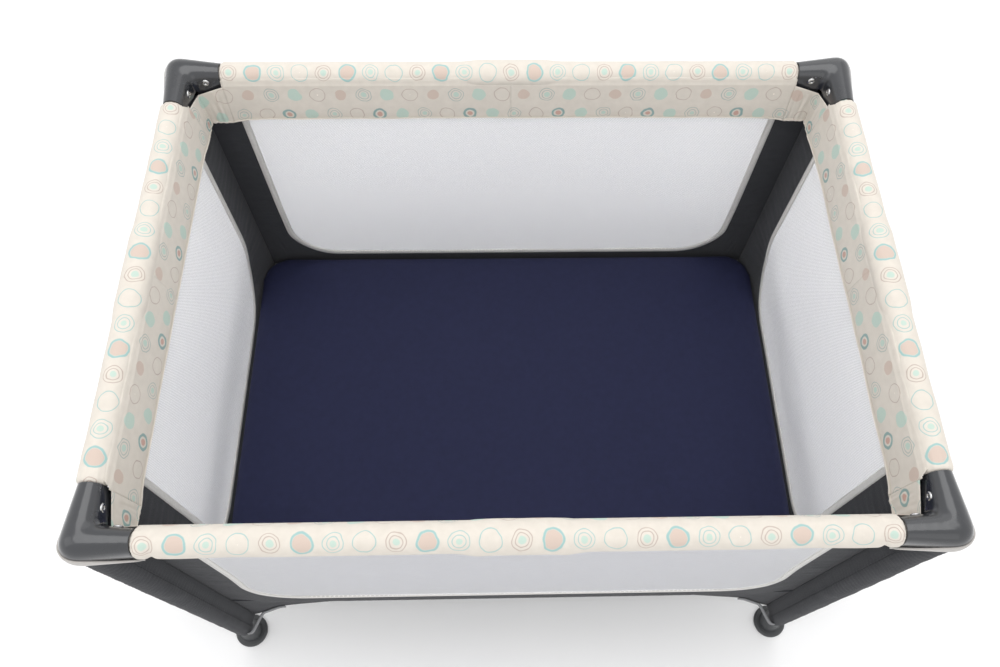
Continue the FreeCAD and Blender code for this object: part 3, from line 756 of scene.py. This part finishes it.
# the shares of the window's U taken by one upright side and by one round corner
U_SHARES = (0.34, 0.1)
WINDOW_HALF = {"x": 0.402, "y": 0.2425}
SEAM_HALF = {"x": LEG_X - WALL_INSET, "y": LEG_Y - WALL_INSET}
HEM_MIDDLE = {"x": 0.2135, "y": 0.205}
HEM_ARCH = {"x": 0.59, "y": 0.95}
STRAP_AT = {"x": 0.402, "y": 0.27}
HEM_AT_LEG = 0.066
PUSHED_OUT = {"x": 0.0138, "y": 0.0012}
HEM_INSET = {"x": 0.0245, "y": 0.014}


def wall_inset(rail, along, height):
    """How far inward of the rail's axis the wall's cloth is."""
    axis = RAILS[rail][0]
    near_leg = blendstep(SEAM_HALF[axis] - 0.07, SEAM_HALF[axis] - 0.005, abs(along))
    inset = WALL_INSET - 0.0070 * blendstep(RAIL_Z - 0.035, RAIL_Z - 0.0125, height)
    pushed = PUSHED_OUT[axis] + (WALL_INSET - PUSHED_OUT[axis]) * near_leg
    inset += (pushed - inset) * (1 - blendstep(0.255, 0.42, height))
    drawn_in = HEM_INSET[axis] + (WALL_INSET - HEM_INSET[axis]) * near_leg
    return inset + (drawn_in - inset) * (1 - blendstep(0.19, 0.225, height))


def hem_height(rail, along):
    """Height of the lower edge of a wall."""
    axis = RAILS[rail][0]
    out = abs(along)
    if out < STRAP_AT[axis]:
        return HEM_MIDDLE[axis] - HEM_ARCH[axis] * out * out
    top = HEM_MIDDLE[axis] - HEM_ARCH[axis] * STRAP_AT[axis] ** 2
    share = (out - STRAP_AT[axis]) / (SEAM_HALF[axis] - STRAP_AT[axis])
    return top + (HEM_AT_LEG - top) * share


def on_wall(rail, along, height, lift=0.0):
    return wall_point(rail, along, wall_inset(rail, along, height) + lift, height)


def u_line(rail, share, grow):
    """A point on the U of the window, from 0 at one top end to 1 at the other, grown outwards."""
    axis = RAILS[rail][0]
    half, low = WINDOW_HALF[axis], WINDOW_LOW[rail]
    side, arc = U_SHARES
    sign = -1 if share < 0.5 else 1
    share = min(share, 1 - share)
    centre_along, centre_height = half - WINDOW_ROUND, low + WINDOW_ROUND
    radius = WINDOW_ROUND + grow
    if share < side:
        height = WALL_TOP + (centre_height - WALL_TOP) * share / side
        return sign * (half + grow), height
    if share < side + arc:
        angle = (share - side) / arc * math.pi / 2
        return (
            sign * (centre_along + radius * math.cos(angle)),
            centre_height - radius * math.sin(angle),
        )
    rest = (share - side - arc) / (0.5 - side - arc)
    return sign * centre_along * (1 - rest), low - grow


def wall_edge(rail, share):
    """The point of the wall's outer edge that belongs to a point of the U."""
    axis = RAILS[rail][0]
    seam, half = SEAM_HALF[axis], WINDOW_HALF[axis]
    top = WINDOW_LOW[rail] + WINDOW_ROUND
    side, arc = U_SHARES
    sign = -1 if share < 0.5 else 1
    share = min(share, 1 - share)
    if share < side:
        return sign * seam, WALL_TOP + (top - WALL_TOP) * share / side
    if share < side + arc / 2:
        part = (share - side) / (arc / 2)
        return sign * seam, top + (hem_height(rail, seam) - top) * part
    inner = half - WINDOW_ROUND
    if share < side + arc:
        part = (share - side - arc / 2) / (arc / 2)
        along = seam + (inner - seam) * part
        return sign * along, hem_height(rail, along)
    rest = (share - side - arc) / (0.5 - side - arc)
    along = inner * (1 - rest)
    return sign * along, hem_height(rail, along)


CREASE_PITCH = 0.019


def gathers(rail, along, height, share_out):
    """Level creases in the strips of the frame, where the cloth is slack between its seams."""
    axis = RAILS[rail][0]
    in_strip = blendstep(WINDOW_HALF[axis] - 0.09, WINDOW_HALF[axis], abs(along))
    drift = 5 * ripple(along * 9, height * 7, hash_of(rail))
    shape = math.sin(height * 2 * math.pi / CREASE_PITCH + drift)
    rise = 0.0004 * shape + 0.0014 * ripple(along * 12, height * 48, hash_of(rail) + 1)
    if axis == "x":
        # the long walls are slack enough for a few sharp creases
        depth = 0.0022 * (0.5 + ripple(along * 3, height * 19, hash_of(rail) + 2))
        rise -= depth * max(shape, 0.0) ** 6
    return in_strip * rise * math.sin(math.pi * share_out)


# %% Frames, nets and tapes
U_COLUMNS = 300
TAPE_WIDTH = 0.0102
# cloth is cut a little larger than the surface that it covers
LEG_OF = {"front": "front_left", "left": "front_left", "back": "back_left", "right": "front_right"}


def make_wall(rail):
    axis = RAILS[rail][0]
    leg = f"leg_{LEG_OF[rail]}"

    def frame_place(u, v):
        inner = u_line(rail, u, -0.001)
        outer = wall_edge(rail, u)
        along = inner[0] + (outer[0] - inner[0]) * v
        height = inner[1] + (outer[1] - inner[1]) * v
        return on_wall(rail, along, height, gathers(rail, along, height, v))

    def frame_flat(u, v):
        inner, outer = u_line(rail, u, 0), wall_edge(rail, u)
        return inner[0] + (outer[0] - inner[0]) * v, inner[1] + (outer[1] - inner[1]) * v

    surround = cloth(
        f"wall_frame_{rail}", U_COLUMNS, 22, frame_place, frame_flat, charcoal_cloth,
        thick=0.0008, outward=lambda p: across(rail, p) * -1,
    )

    half, low = WINDOW_HALF[axis] + 0.002, WINDOW_LOW[rail] - 0.002

    def net_flat(u, v):
        height = low + (WALL_TOP - low) * v
        dip = max(low + WINDOW_ROUND - height, 0.0)
        reach_out = half - WINDOW_ROUND + math.sqrt(max(WINDOW_ROUND**2 - dip**2, 0.0))
        return (u * 2 - 1) * reach_out, height

    def net_place(u, v):
        along, height = net_flat(u, v ** 1.6)
        sway = 0.0012 * ripple(along * 5, height * 6, hash_of(rail) + 7)
        return on_wall(rail, along, height, sway * blendstep(0, 0.05, half - abs(along)))

    net = cloth(
        f"net_window_{rail}", 90, 60, net_place, lambda u, v: net_flat(u, v ** 1.6), fine_net,
        outward=lambda p: across(rail, p) * -1,
    )

    def tape_place(u, v):
        along, height = u_line(rail, u, (v - 0.5) * TAPE_WIDTH)
        return on_wall(rail, along, height)

    def tape_flat(u, v):
        return u * 2.2, v * TAPE_WIDTH

    tape = cloth(
        f"window_tape_{rail}", U_COLUMNS, 3, tape_place, tape_flat, binding_tape,
        thick=0.0024, outward=lambda p: across(rail, p) * -1,
    )
    for made in (surround, net, tape):
        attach(made, leg)
        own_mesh(made)
    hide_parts(f"side_panel_{rail}")


for rail in RAILS:
    make_wall(rail)
print("wall seams", {axis: round(2 * half, 3) for axis, half in SEAM_HALF.items()}, "m apart")

# %% [markdown]
# ## The leg sleeves
# A sleeve of the same charcoal cloth runs down each leg, slack enough to show small level
# creases, and tapers towards the foot. At its lower end it is turned in, so the opening is dark.

# %% Leg sleeves
SLEEVE_TOP, SLEEVE_LOW = BASE_LOW + 0.004, 0.05
SEAM_AT = WALL_INSET + 0.0006


def make_sleeve(corner, sx, sy):
    length = SLEEVE_TOP - SLEEVE_LOW

    def place(u, v):
        height = SLEEVE_LOW + length * v
        angle = 2 * math.pi * u
        outer = 0.0152 + 0.0024 * v
        outer += 0.0002 * math.sin(height * 2 * math.pi / 0.010 + 5 * ripple(u * 6, height * 9, sx))
        outer += 0.0008 * ripple(math.cos(angle) * 2, height * 34, sy + 2 * sx)
        outer -= 0.0012 * (1 - blendstep(0, 0.012, v * length))
        # the section is round, but runs out to the seam where the two walls meet
        off_seam = abs(angle - math.pi / 4) / (math.pi / 4)
        pull = max(1 - off_seam, 0.0) ** 2 * blendstep(0.004, 0.02, v * length)
        radius = outer + (SEAM_AT * math.sqrt(2) - outer) * pull
        in_x, in_y = radius * math.cos(angle), radius * math.sin(angle)
        return Vector((sx * (LEG_X - in_x), sy * (LEG_Y - in_y), height))

    made = cloth(
        f"leg_sleeve_{corner}", 80, 240, place, lambda u, v: (u * 0.105, v * length),
        charcoal_cloth, thick=0.0008,
        outward=lambda p: Vector((p.x - sx * LEG_X, p.y - sy * LEG_Y, 0)),
    )
    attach(made, f"leg_{corner}")


for corner, (sx, sy) in CORNERS.items():
    make_sleeve(corner, sx, sy)
print("leg sleeves are", round(SLEEVE_TOP - SLEEVE_LOW, 3), "m long")

# %% [markdown]
# ## The foot straps
# A flat grey strap runs from each foot up to the lower edge of the long wall, to hold it down.

# %% Foot straps
STRAP_WIDTH = 0.012


def make_strap(corner, sx, sy):
    rail = "front" if sy < 0 else "back"
    start, finish = SEAM_HALF["x"] + 0.012, STRAP_AT["x"] - 0.012

    def place(u, v):
        along = start + (finish - start) * u
        off = max(along - SEAM_HALF["x"], 0.0)
        height = hem_height(rail, min(along, SEAM_HALF["x"])) - off
        lift = -0.0022 - 0.030 * blendstep(SEAM_HALF["x"] - 0.022, SEAM_HALF["x"] + 0.004, along)
        inset = wall_inset(rail, min(along, SEAM_HALF["x"]), height) + lift
        return wall_point(rail, sx * along, inset, height + STRAP_WIDTH * (v - 0.35))

    made = cloth(
        f"foot_strap_{corner}", 30, 4, place, lambda u, v: (u * 0.11, v * STRAP_WIDTH),
        strap_web, thick=0.0016, outward=lambda p: Vector((0, sy, 0)),
    )
    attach(made, f"leg_{corner}")
    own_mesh(made)


for corner, (sx, sy) in CORNERS.items():
    make_strap(corner, sx, sy)
print("foot straps:", len(CORNERS))

# %% [markdown]
# ## The fabric floor
# Under the mattress a sheet of the charcoal cloth is stretched between the walls. It is seen
# only from below. It is in two halves here because each half turns with its own side.


# %% Floor halves
def make_floor(half, side):
    outer = LEG_Y - 0.0165
    reach_out = SEAM_HALF["x"] - 0.002

    def place(u, v):
        along = (u * 2 - 1) * reach_out
        out = outer * v
        sag = 0.0005 * ripple(along * 8, out * 8, side)
        return Vector((along, side * out, FLOOR_Z + sag))

    made = cloth(
        f"floor_cloth_{half}", 120, 40, place,
        lambda u, v: ((u * 2 - 1) * reach_out, side * outer * v), floor_cloth,
        thick=0.0012, outward=lambda p: Vector((0, 0, 1)),
    )
    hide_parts(f"floor_{half}")
    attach(made, f"floor_{half}")
    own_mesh(made)


make_floor("front", -1)
make_floor("back", 1)
print("floor cloth lies at", round(FLOOR_Z, 4))

# %% [markdown]
# ## The corner covers
# Each corner is closed by two moulded shells: a glossy charcoal cover on top and a light grey
# base under it. Both are an elbow of two arms, thick at the corner and slimmer at the mouths
# where the rolls come out. Two tapered cones and a ball make the rough elbow, and its lower half
# is drawn straight down for the walls. They run into each other, so a voxel remesh joins them
# into one skin of small even squares. That skin is smoothed many times, which melts the joins
# the way a mould maker's polish does. Planes cut it to length, and Solidify gives it a wall.

# %% Melting an elbow into a moulded skin
COVER_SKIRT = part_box("corner_cover_back_right")[0].z
SPARE = 0.03
SKIN_VOXEL = 0.0016
DOMED = 1.15


def melted_elbow(at_corner_radius, at_mouth_radius, melting):
    """Two arms round the origin along +X and +Y, drawn down, as one smooth skin."""
    bm = bmesh.new()
    for axis, direction in (("x", Vector((1, 0, 0))), ("y", Vector((0, 1, 0)))):
        reach_out = COVER_REACH[axis]
        length = reach_out + SPARE
        taper = (at_corner_radius - at_mouth_radius) / reach_out
        arm = bmesh.ops.create_cone(
            bm, cap_ends=True, segments=48, radius1=at_corner_radius,
            radius2=at_corner_radius - taper * length, depth=length,
        )["verts"]
        turn = direction.to_track_quat("Z", "Y").to_matrix()
        bmesh.ops.rotate(bm, verts=arm, cent=(0, 0, 0), matrix=turn)
        bmesh.ops.translate(bm, verts=arm, vec=direction * length / 2)
    bmesh.ops.create_uvsphere(bm, u_segments=48, v_segments=24, radius=at_corner_radius)
    for vert in bm.verts:
        if vert.co.z < -0.0001:
            vert.co.z -= SPARE
        else:
            vert.co.z *= DOMED
    bmesh.ops.translate(bm, verts=bm.verts, vec=(0, 0, RAIL_Z))
    block = piece("block", bm, cover_plastic)
    squares = block.modifiers.new("even squares", "REMESH")
    squares.mode = "VOXEL"
    squares.voxel_size = SKIN_VOXEL
    apply_modifiers(block)
    skin = bmesh.new()
    skin.from_mesh(block.data)
    bpy.data.objects.remove(block)
    for _ in range(melting):
        bmesh.ops.smooth_vert(
            skin, verts=skin.verts, factor=0.5, use_axis_x=True, use_axis_y=True, use_axis_z=True
        )
    slice_off(skin, (COVER_REACH["x"], 0, 0), (1, 0, 0))
    slice_off(skin, (0, COVER_REACH["y"], 0), (0, 1, 0))
    return skin


def slice_off(bm, place, facing, drop=True):
    """Cut with a plane, and drop what lies in front of it."""
    everything = bm.verts[:] + bm.edges[:] + bm.faces[:]
    bmesh.ops.bisect_plane(bm, geom=everything, plane_co=place, plane_no=facing, clear_outer=drop)


def apply_modifiers(made):
    """Write what the modifiers give into the mesh, and take them off."""
    graph = bpy.context.evaluated_depsgraph_get()
    final = bpy.data.meshes.new_from_object(made.evaluated_get(graph))
    made.modifiers.clear()
    made.data = final


def at_corner(skin, corner, sx, sy):
    """A copy of a skin, turned to a corner: its arm along X stays along X."""
    bm = skin.copy()
    bmesh.ops.scale(bm, verts=bm.verts, vec=(-sx, -sy, 1))
    bmesh.ops.translate(bm, verts=bm.verts, vec=(sx * LEG_X, sy * LEG_Y, 0))
    if sx * sy < 0:
        bmesh.ops.reverse_faces(bm, faces=bm.faces)
    return bm


def shell(name, bm, finish, wall, corner):
    """A skin with a wall inwards of it, on the leg of its corner."""
    made = piece(name, bm, finish)
    thickness = made.modifiers.new("wall", "SOLIDIFY")
    thickness.thickness = wall
    thickness.offset = -1.0
    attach(made, f"leg_{corner}")
    return made


# %% Covers
COVER_RADIUS, COVER_MOUTH = 0.0216, 0.0152
# the lower edge rises outwards, which bares the base, and dips inwards, which hides the joint
EDGE_TILT = 0.28
EDGE_AT = COVER_SKIRT + 0.0065
cover_skin = melted_elbow(COVER_RADIUS, COVER_MOUTH, 60)
slice_off(cover_skin, (0, 0, EDGE_AT), (-EDGE_TILT, -EDGE_TILT, -1))
for corner, (sx, sy) in CORNERS.items():
    turned = at_corner(cover_skin, corner, sx, sy)
    made = shell(f"cover_shell_{corner}", turned, cover_plastic, 0.0024, corner)
    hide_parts(f"corner_cover_{corner}")
print("a cover has", len(cover_skin.faces), "faces")

# %% Bases
BASE_BELLY, BASE_MOUTH = 0.0228, 0.0190
INNER_SIDE = 0.006
base_skin = melted_elbow(BASE_BELLY, BASE_MOUTH, 30)
slice_off(base_skin, (0, 0, EDGE_AT), (EDGE_TILT, EDGE_TILT, 1))
slice_off(base_skin, (0, 0, BASE_LOW), (0, 0, -1))
# the lower edge is drawn in, as a bowl is, and the inner side is left open for the cloth
belly = COVER_SKIRT - BASE_LOW
for vert in base_skin.verts:
    down = min(max((COVER_SKIRT + 0.004 - vert.co.z) / belly, 0.0), 1.0)
    drawn_in = 0.006 * (1 - math.sqrt(1 - 0.96 * down * down))
    vert.co.x += drawn_in
    vert.co.y += drawn_in
for level in ((INNER_SIDE, 0, 0), (0, INNER_SIDE, 0)):
    slice_off(base_skin, level, Vector(level).normalized(), drop=False)
inner_faces = [f for f in base_skin.faces if min(f.calc_center_median().xy) > INNER_SIDE]
bmesh.ops.delete(base_skin, geom=inner_faces, context="FACES")
for corner, (sx, sy) in CORNERS.items():
    turned = at_corner(base_skin, corner, sx, sy)
    made = shell(f"base_shell_{corner}", turned, base_plastic, 0.0022, corner)
    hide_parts(f"corner_base_{corner}")
print("a base has", len(base_skin.faces), "faces")

# %% [markdown]
# ## The amber liners
# Inside each base a short amber collar lines the hole round the leg. Only a sliver of it shows,
# between the cover and the cloth.

# %% Liners
LINER_RADIUS, LINER_LOW, LINER_HIGH = 0.0135, BASE_LOW + 0.001, COVER_SKIRT - 0.001
for corner, (sx, sy) in CORNERS.items():
    bm = bmesh.new()
    bmesh.ops.create_cone(
        bm, cap_ends=False, segments=48, radius1=LINER_RADIUS, radius2=LINER_RADIUS + 0.001,
        depth=LINER_HIGH - LINER_LOW,
    )
    bmesh.ops.subdivide_edges(
        bm, edges=[e for e in bm.edges if abs(e.verts[0].co.z - e.verts[1].co.z) > 0.001], cuts=4
    )
    for vert in bm.verts:
        vert.co.xy *= 1 + 0.05 * math.cos(vert.co.z / (LINER_HIGH - LINER_LOW) * math.pi * 2)
    bmesh.ops.translate(
        bm, verts=bm.verts, vec=(sx * LEG_X, sy * LEG_Y, (LINER_LOW + LINER_HIGH) / 2)
    )
    made = shell(f"amber_liner_{corner}", bm, amber_plastic, 0.0015, corner)
print("liners are", round((LINER_HIGH - LINER_LOW) * 1000), "mm deep")

# %% [markdown]
# ## The rivets
# A rivet through each arm carries the rail. Its head is a low dome with a hollow in the middle,
# a shape of revolution, so half of its section is spun round the rivet's axis.

# %% Rivets
RIVET_AT = 0.038
RIVET_OUT = 0.0166
RIVET_SECTION = [
    (0.0, -0.0004), (0.0013, -0.0002), (0.0021, 0.0008), (0.003, 0.0016), (0.0042, 0.0014),
    (0.0051, 0.0007), (0.0054, -0.0004),
]


def make_rivets(corner, sx, sy):
    bm = bmesh.new()
    for along_x in (True, False):
        earlier = set(bm.verts)
        profile = [bm.verts.new((radius, 0, rise)) for radius, rise in RIVET_SECTION]
        edges = [bm.edges.new(pair) for pair in zip(profile, profile[1:])]
        bmesh.ops.spin(
            bm, geom=profile + edges, cent=(0, 0, 0), axis=(0, 0, 1), angle=2 * math.pi,
            steps=28, use_merge=True,
        )
        verts = [vert for vert in bm.verts if vert not in earlier]
        facing = Vector((0, -sy, 0)) if along_x else Vector((-sx, 0, 0))
        turn = facing.to_track_quat("Z", "Y").to_matrix()
        bmesh.ops.rotate(bm, verts=verts, cent=(0, 0, 0), matrix=turn)
        if along_x:
            place = Vector((sx * (LEG_X - RIVET_AT), sy * (LEG_Y - RIVET_OUT), RAIL_Z + 0.001))
        else:
            place = Vector((sx * (LEG_X - RIVET_OUT), sy * (LEG_Y - RIVET_AT), RAIL_Z + 0.001))
        bmesh.ops.translate(bm, verts=verts, vec=place)
    bmesh.ops.remove_doubles(bm, verts=bm.verts, dist=1e-6)
    bmesh.ops.recalc_face_normals(bm, faces=bm.faces)
    made = piece(f"rivet_heads_{corner}", bm, rivet_metal, 0.0008)
    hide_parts(f"corner_rivets_{corner}")
    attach(made, f"leg_{corner}")


for corner, (sx, sy) in CORNERS.items():
    make_rivets(corner, sx, sy)
print("rivet heads are", round(2 * RIVET_SECTION[-1][0] * 1000, 1), "mm across")

# %% [markdown]
# ## The mattress
# The mattress is a thin padded board in a navy fitted sheet. The pad starts as the CAD node's
# own shape, a little smaller, remeshed into even squares. A short cloth simulation blows it up
# against its own fabric, which gives the soft edges and the faint drawn look that a vertex
# move alone wouldn't. The movement of each point is capped, so the pad stays a flat board.

# %% Mattress
navy_sheet, tree, shader, place = start_material("navy_sheet")
threads_up = use(tree, weave, {"Place": place, "Threads": 1000.0})
feed(tree, shader, {
    "Base Color": mix(tree, threads_up.outputs["Tint"], tone(22, 25, 52), tone(30, 34, 64)),
    "Roughness": 0.78,
    "Sheen Weight": 0.03,
    "Specular IOR Level": 0.25,
})
bump(tree, shader, threads_up.outputs["Height"], 0.2, 0.0003)

PAD_VOXEL = 0.007
PAD_SHRINK = 0.003
PAD_CAP = 0.0045
PAD_FRAMES = 20


def make_mattress():
    low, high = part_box("mattress")
    centre = (low + high) / 2
    bm = bmesh.new()
    bm.from_mesh(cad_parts["mattress"].data)
    bmesh.ops.remove_doubles(bm, verts=bm.verts, dist=1e-6)
    for vert in bm.verts:
        out = vert.co - centre
        for axis in range(3):
            half = (high - low)[axis] / 2
            out[axis] *= (half - PAD_SHRINK) / half
        vert.co = centre + out
    made = piece("mattress_pad", bm, navy_sheet)
    made.data.materials.clear()
    made.data.materials.append(navy_sheet)
    remesh = made.modifiers.new("even squares", "REMESH")
    remesh.mode = "VOXEL"
    remesh.voxel_size = PAD_VOXEL
    apply_modifiers(made)
    inflate(made)
    for vert in made.data.vertices:
        point = vert.co
        if point.z > centre.z:
            edge = min(high.x - abs(point.x), high.y - abs(point.y))
            crease = ripple(point.x * 3, point.y * 9, 4) + 0.5 * ripple(point.x * 9, point.y * 4, 8)
            point.z += 0.0007 * crease * blendstep(0.0, 0.05, edge)
        for axis, limit in enumerate(high - centre):
            lowest, highest = centre[axis] - limit - 0.001, centre[axis] + limit + 0.002
            point[axis] = min(max(point[axis], lowest), highest)
    finer = made.modifiers.new("finer", "SUBSURF")
    finer.levels = 1
    finer.render_levels = 1
    apply_modifiers(made)
    for polygon in made.data.polygons:
        polygon.use_smooth = True
    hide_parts("mattress")
    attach(made, "mattress")
    return made


def inflate(made):
    """Blow the pad up with the cloth solver, and cap how far any point goes."""
    rest = [vert.co.copy() for vert in made.data.vertices]
    swell = made.modifiers.new("swell", "CLOTH")
    swell.settings.use_pressure = True
    swell.settings.uniform_pressure_force = 4.0
    swell.settings.effector_weights.gravity = 0.0
    swell.point_cache.frame_start = 1
    swell.point_cache.frame_end = PAD_FRAMES
    for moment in range(1, PAD_FRAMES + 1):
        bpy.context.scene.frame_set(moment)
    apply_modifiers(made)
    bpy.context.scene.frame_set(1)
    for vert, start in zip(made.data.vertices, rest):
        moved = vert.co - start
        if moved.length > PAD_CAP:
            vert.co = start + moved * (PAD_CAP / moved.length)


pad = make_mattress()
print("mattress pad has", len(pad.data.polygons), "faces")

# %% [markdown]
# ## The finishes of the CAD parts
# The parts that stay as the CAD made them get their finish by kind: the first words of a node's
# name say what it is. Assigning to the material slots changes the look and leaves the mesh.

# %% CAD finishes
FINISH_OF = {
    "leg_tube": leg_enamel,
    "foot_": foot_plastic,
    "floor_tube": leg_enamel,
    "hub_strap": strap_web,
    "hub": hub_plastic,
    "rail_tube": rail_steel,
    "latch_housing": latch_plastic,
    "latch_button": button_plastic,
}
for name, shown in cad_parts.items():
    if shown.hide_render:
        continue
    finish = next((f for prefix, f in FINISH_OF.items() if name.startswith(prefix)), None)
    if finish is None:
        raise ValueError(f"{name} has no finish")
    if not shown.material_slots:
        shown.data.materials.append(finish)
    for slot in shown.material_slots:
        slot.material = finish
print("CAD parts shown:", sum(not o.hide_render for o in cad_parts.values()))

# %% [markdown]
# ## Floor, light and camera
# A wide pale floor, a bright even sky and four large soft lights, as for a catalogue picture:
# one high on the left, one in front that draws the long highlight on the covers, one behind,
# and one above that reaches the inner side of the walls.
# The camera looks steeply down from in front, as an adult does who leans over the playpen.

# %% Stage
stage_mesh = bmesh.new()
bmesh.ops.create_grid(stage_mesh, x_segments=8, y_segments=8, size=8.0)
backdrop_paint, tree, shader, place = start_material("backdrop_paint")
clouds = add(tree, "TexNoise", {"Vector": place, "Scale": 3.0})
feed(tree, shader, {
    "Base Color": mix(tree, clouds.outputs[0], tone(248, 248, 249), tone(252, 252, 252)),
    "Roughness": 0.9,
})
studio_floor = piece("studio_floor", stage_mesh, backdrop_paint)

world = bpy.data.worlds.new("sky")
world.use_nodes = True
world.node_tree.nodes["Background"].inputs[0].default_value = (1.0, 1.0, 1.0, 1.0)
world.node_tree.nodes["Background"].inputs[1].default_value = 1.0
bpy.context.scene.world = world
bpy.context.scene.view_settings.view_transform = "Standard"


def softbox(name, place, target, size, power):
    """A square area light that looks at a point."""
    data = bpy.data.lights.new(name, "AREA")
    data.size = size
    data.energy = power
    lamp = bpy.data.objects.new(name, data)
    lamp.location = place
    lamp.rotation_euler = (Vector(target) - Vector(place)).to_track_quat("-Z", "Y").to_euler()
    bpy.context.scene.collection.objects.link(lamp)


softbox("light_left", (-2.2, -0.6, 2.6), (0, 0, 0.3), 1.8, 6)
softbox("light_front", (0.6, -2.6, 1.9), (0, 0, 0.4), 1.6, 3)
softbox("light_back", (0.8, 2.4, 2.8), (0, 0, 0.3), 2.0, 6)
softbox("light_top", (0.0, 0.1, 2.9), (0, 0, 0), 2.2, 26)

# %% Camera
camera_data = bpy.data.cameras.new("view")
camera_data.sensor_width = 36.0
camera_data.lens = 29.89
camera_data.shift_x = -0.0145
camera_data.shift_y = 0.001
camera = bpy.data.objects.new("view", camera_data)
bpy.context.scene.collection.objects.link(camera)
CAMERA_AT = (-0.0268, -0.5489, 1.6093)
CAMERA_SIDEWAYS, CAMERA_DOWN, CAMERA_LEAN = -2.97, 63.1, 2.09
camera_turn = (
    Matrix.Rotation(math.radians(CAMERA_SIDEWAYS), 4, "Z")
    @ Matrix.Rotation(math.radians(90 - CAMERA_DOWN), 4, "X")
    @ Matrix.Rotation(math.radians(CAMERA_LEAN), 4, "Z")
)
camera.matrix_world = Matrix.Translation(CAMERA_AT) @ camera_turn
bpy.context.scene.camera = camera
print("camera stands at", tuple(round(c, 3) for c in camera.location))
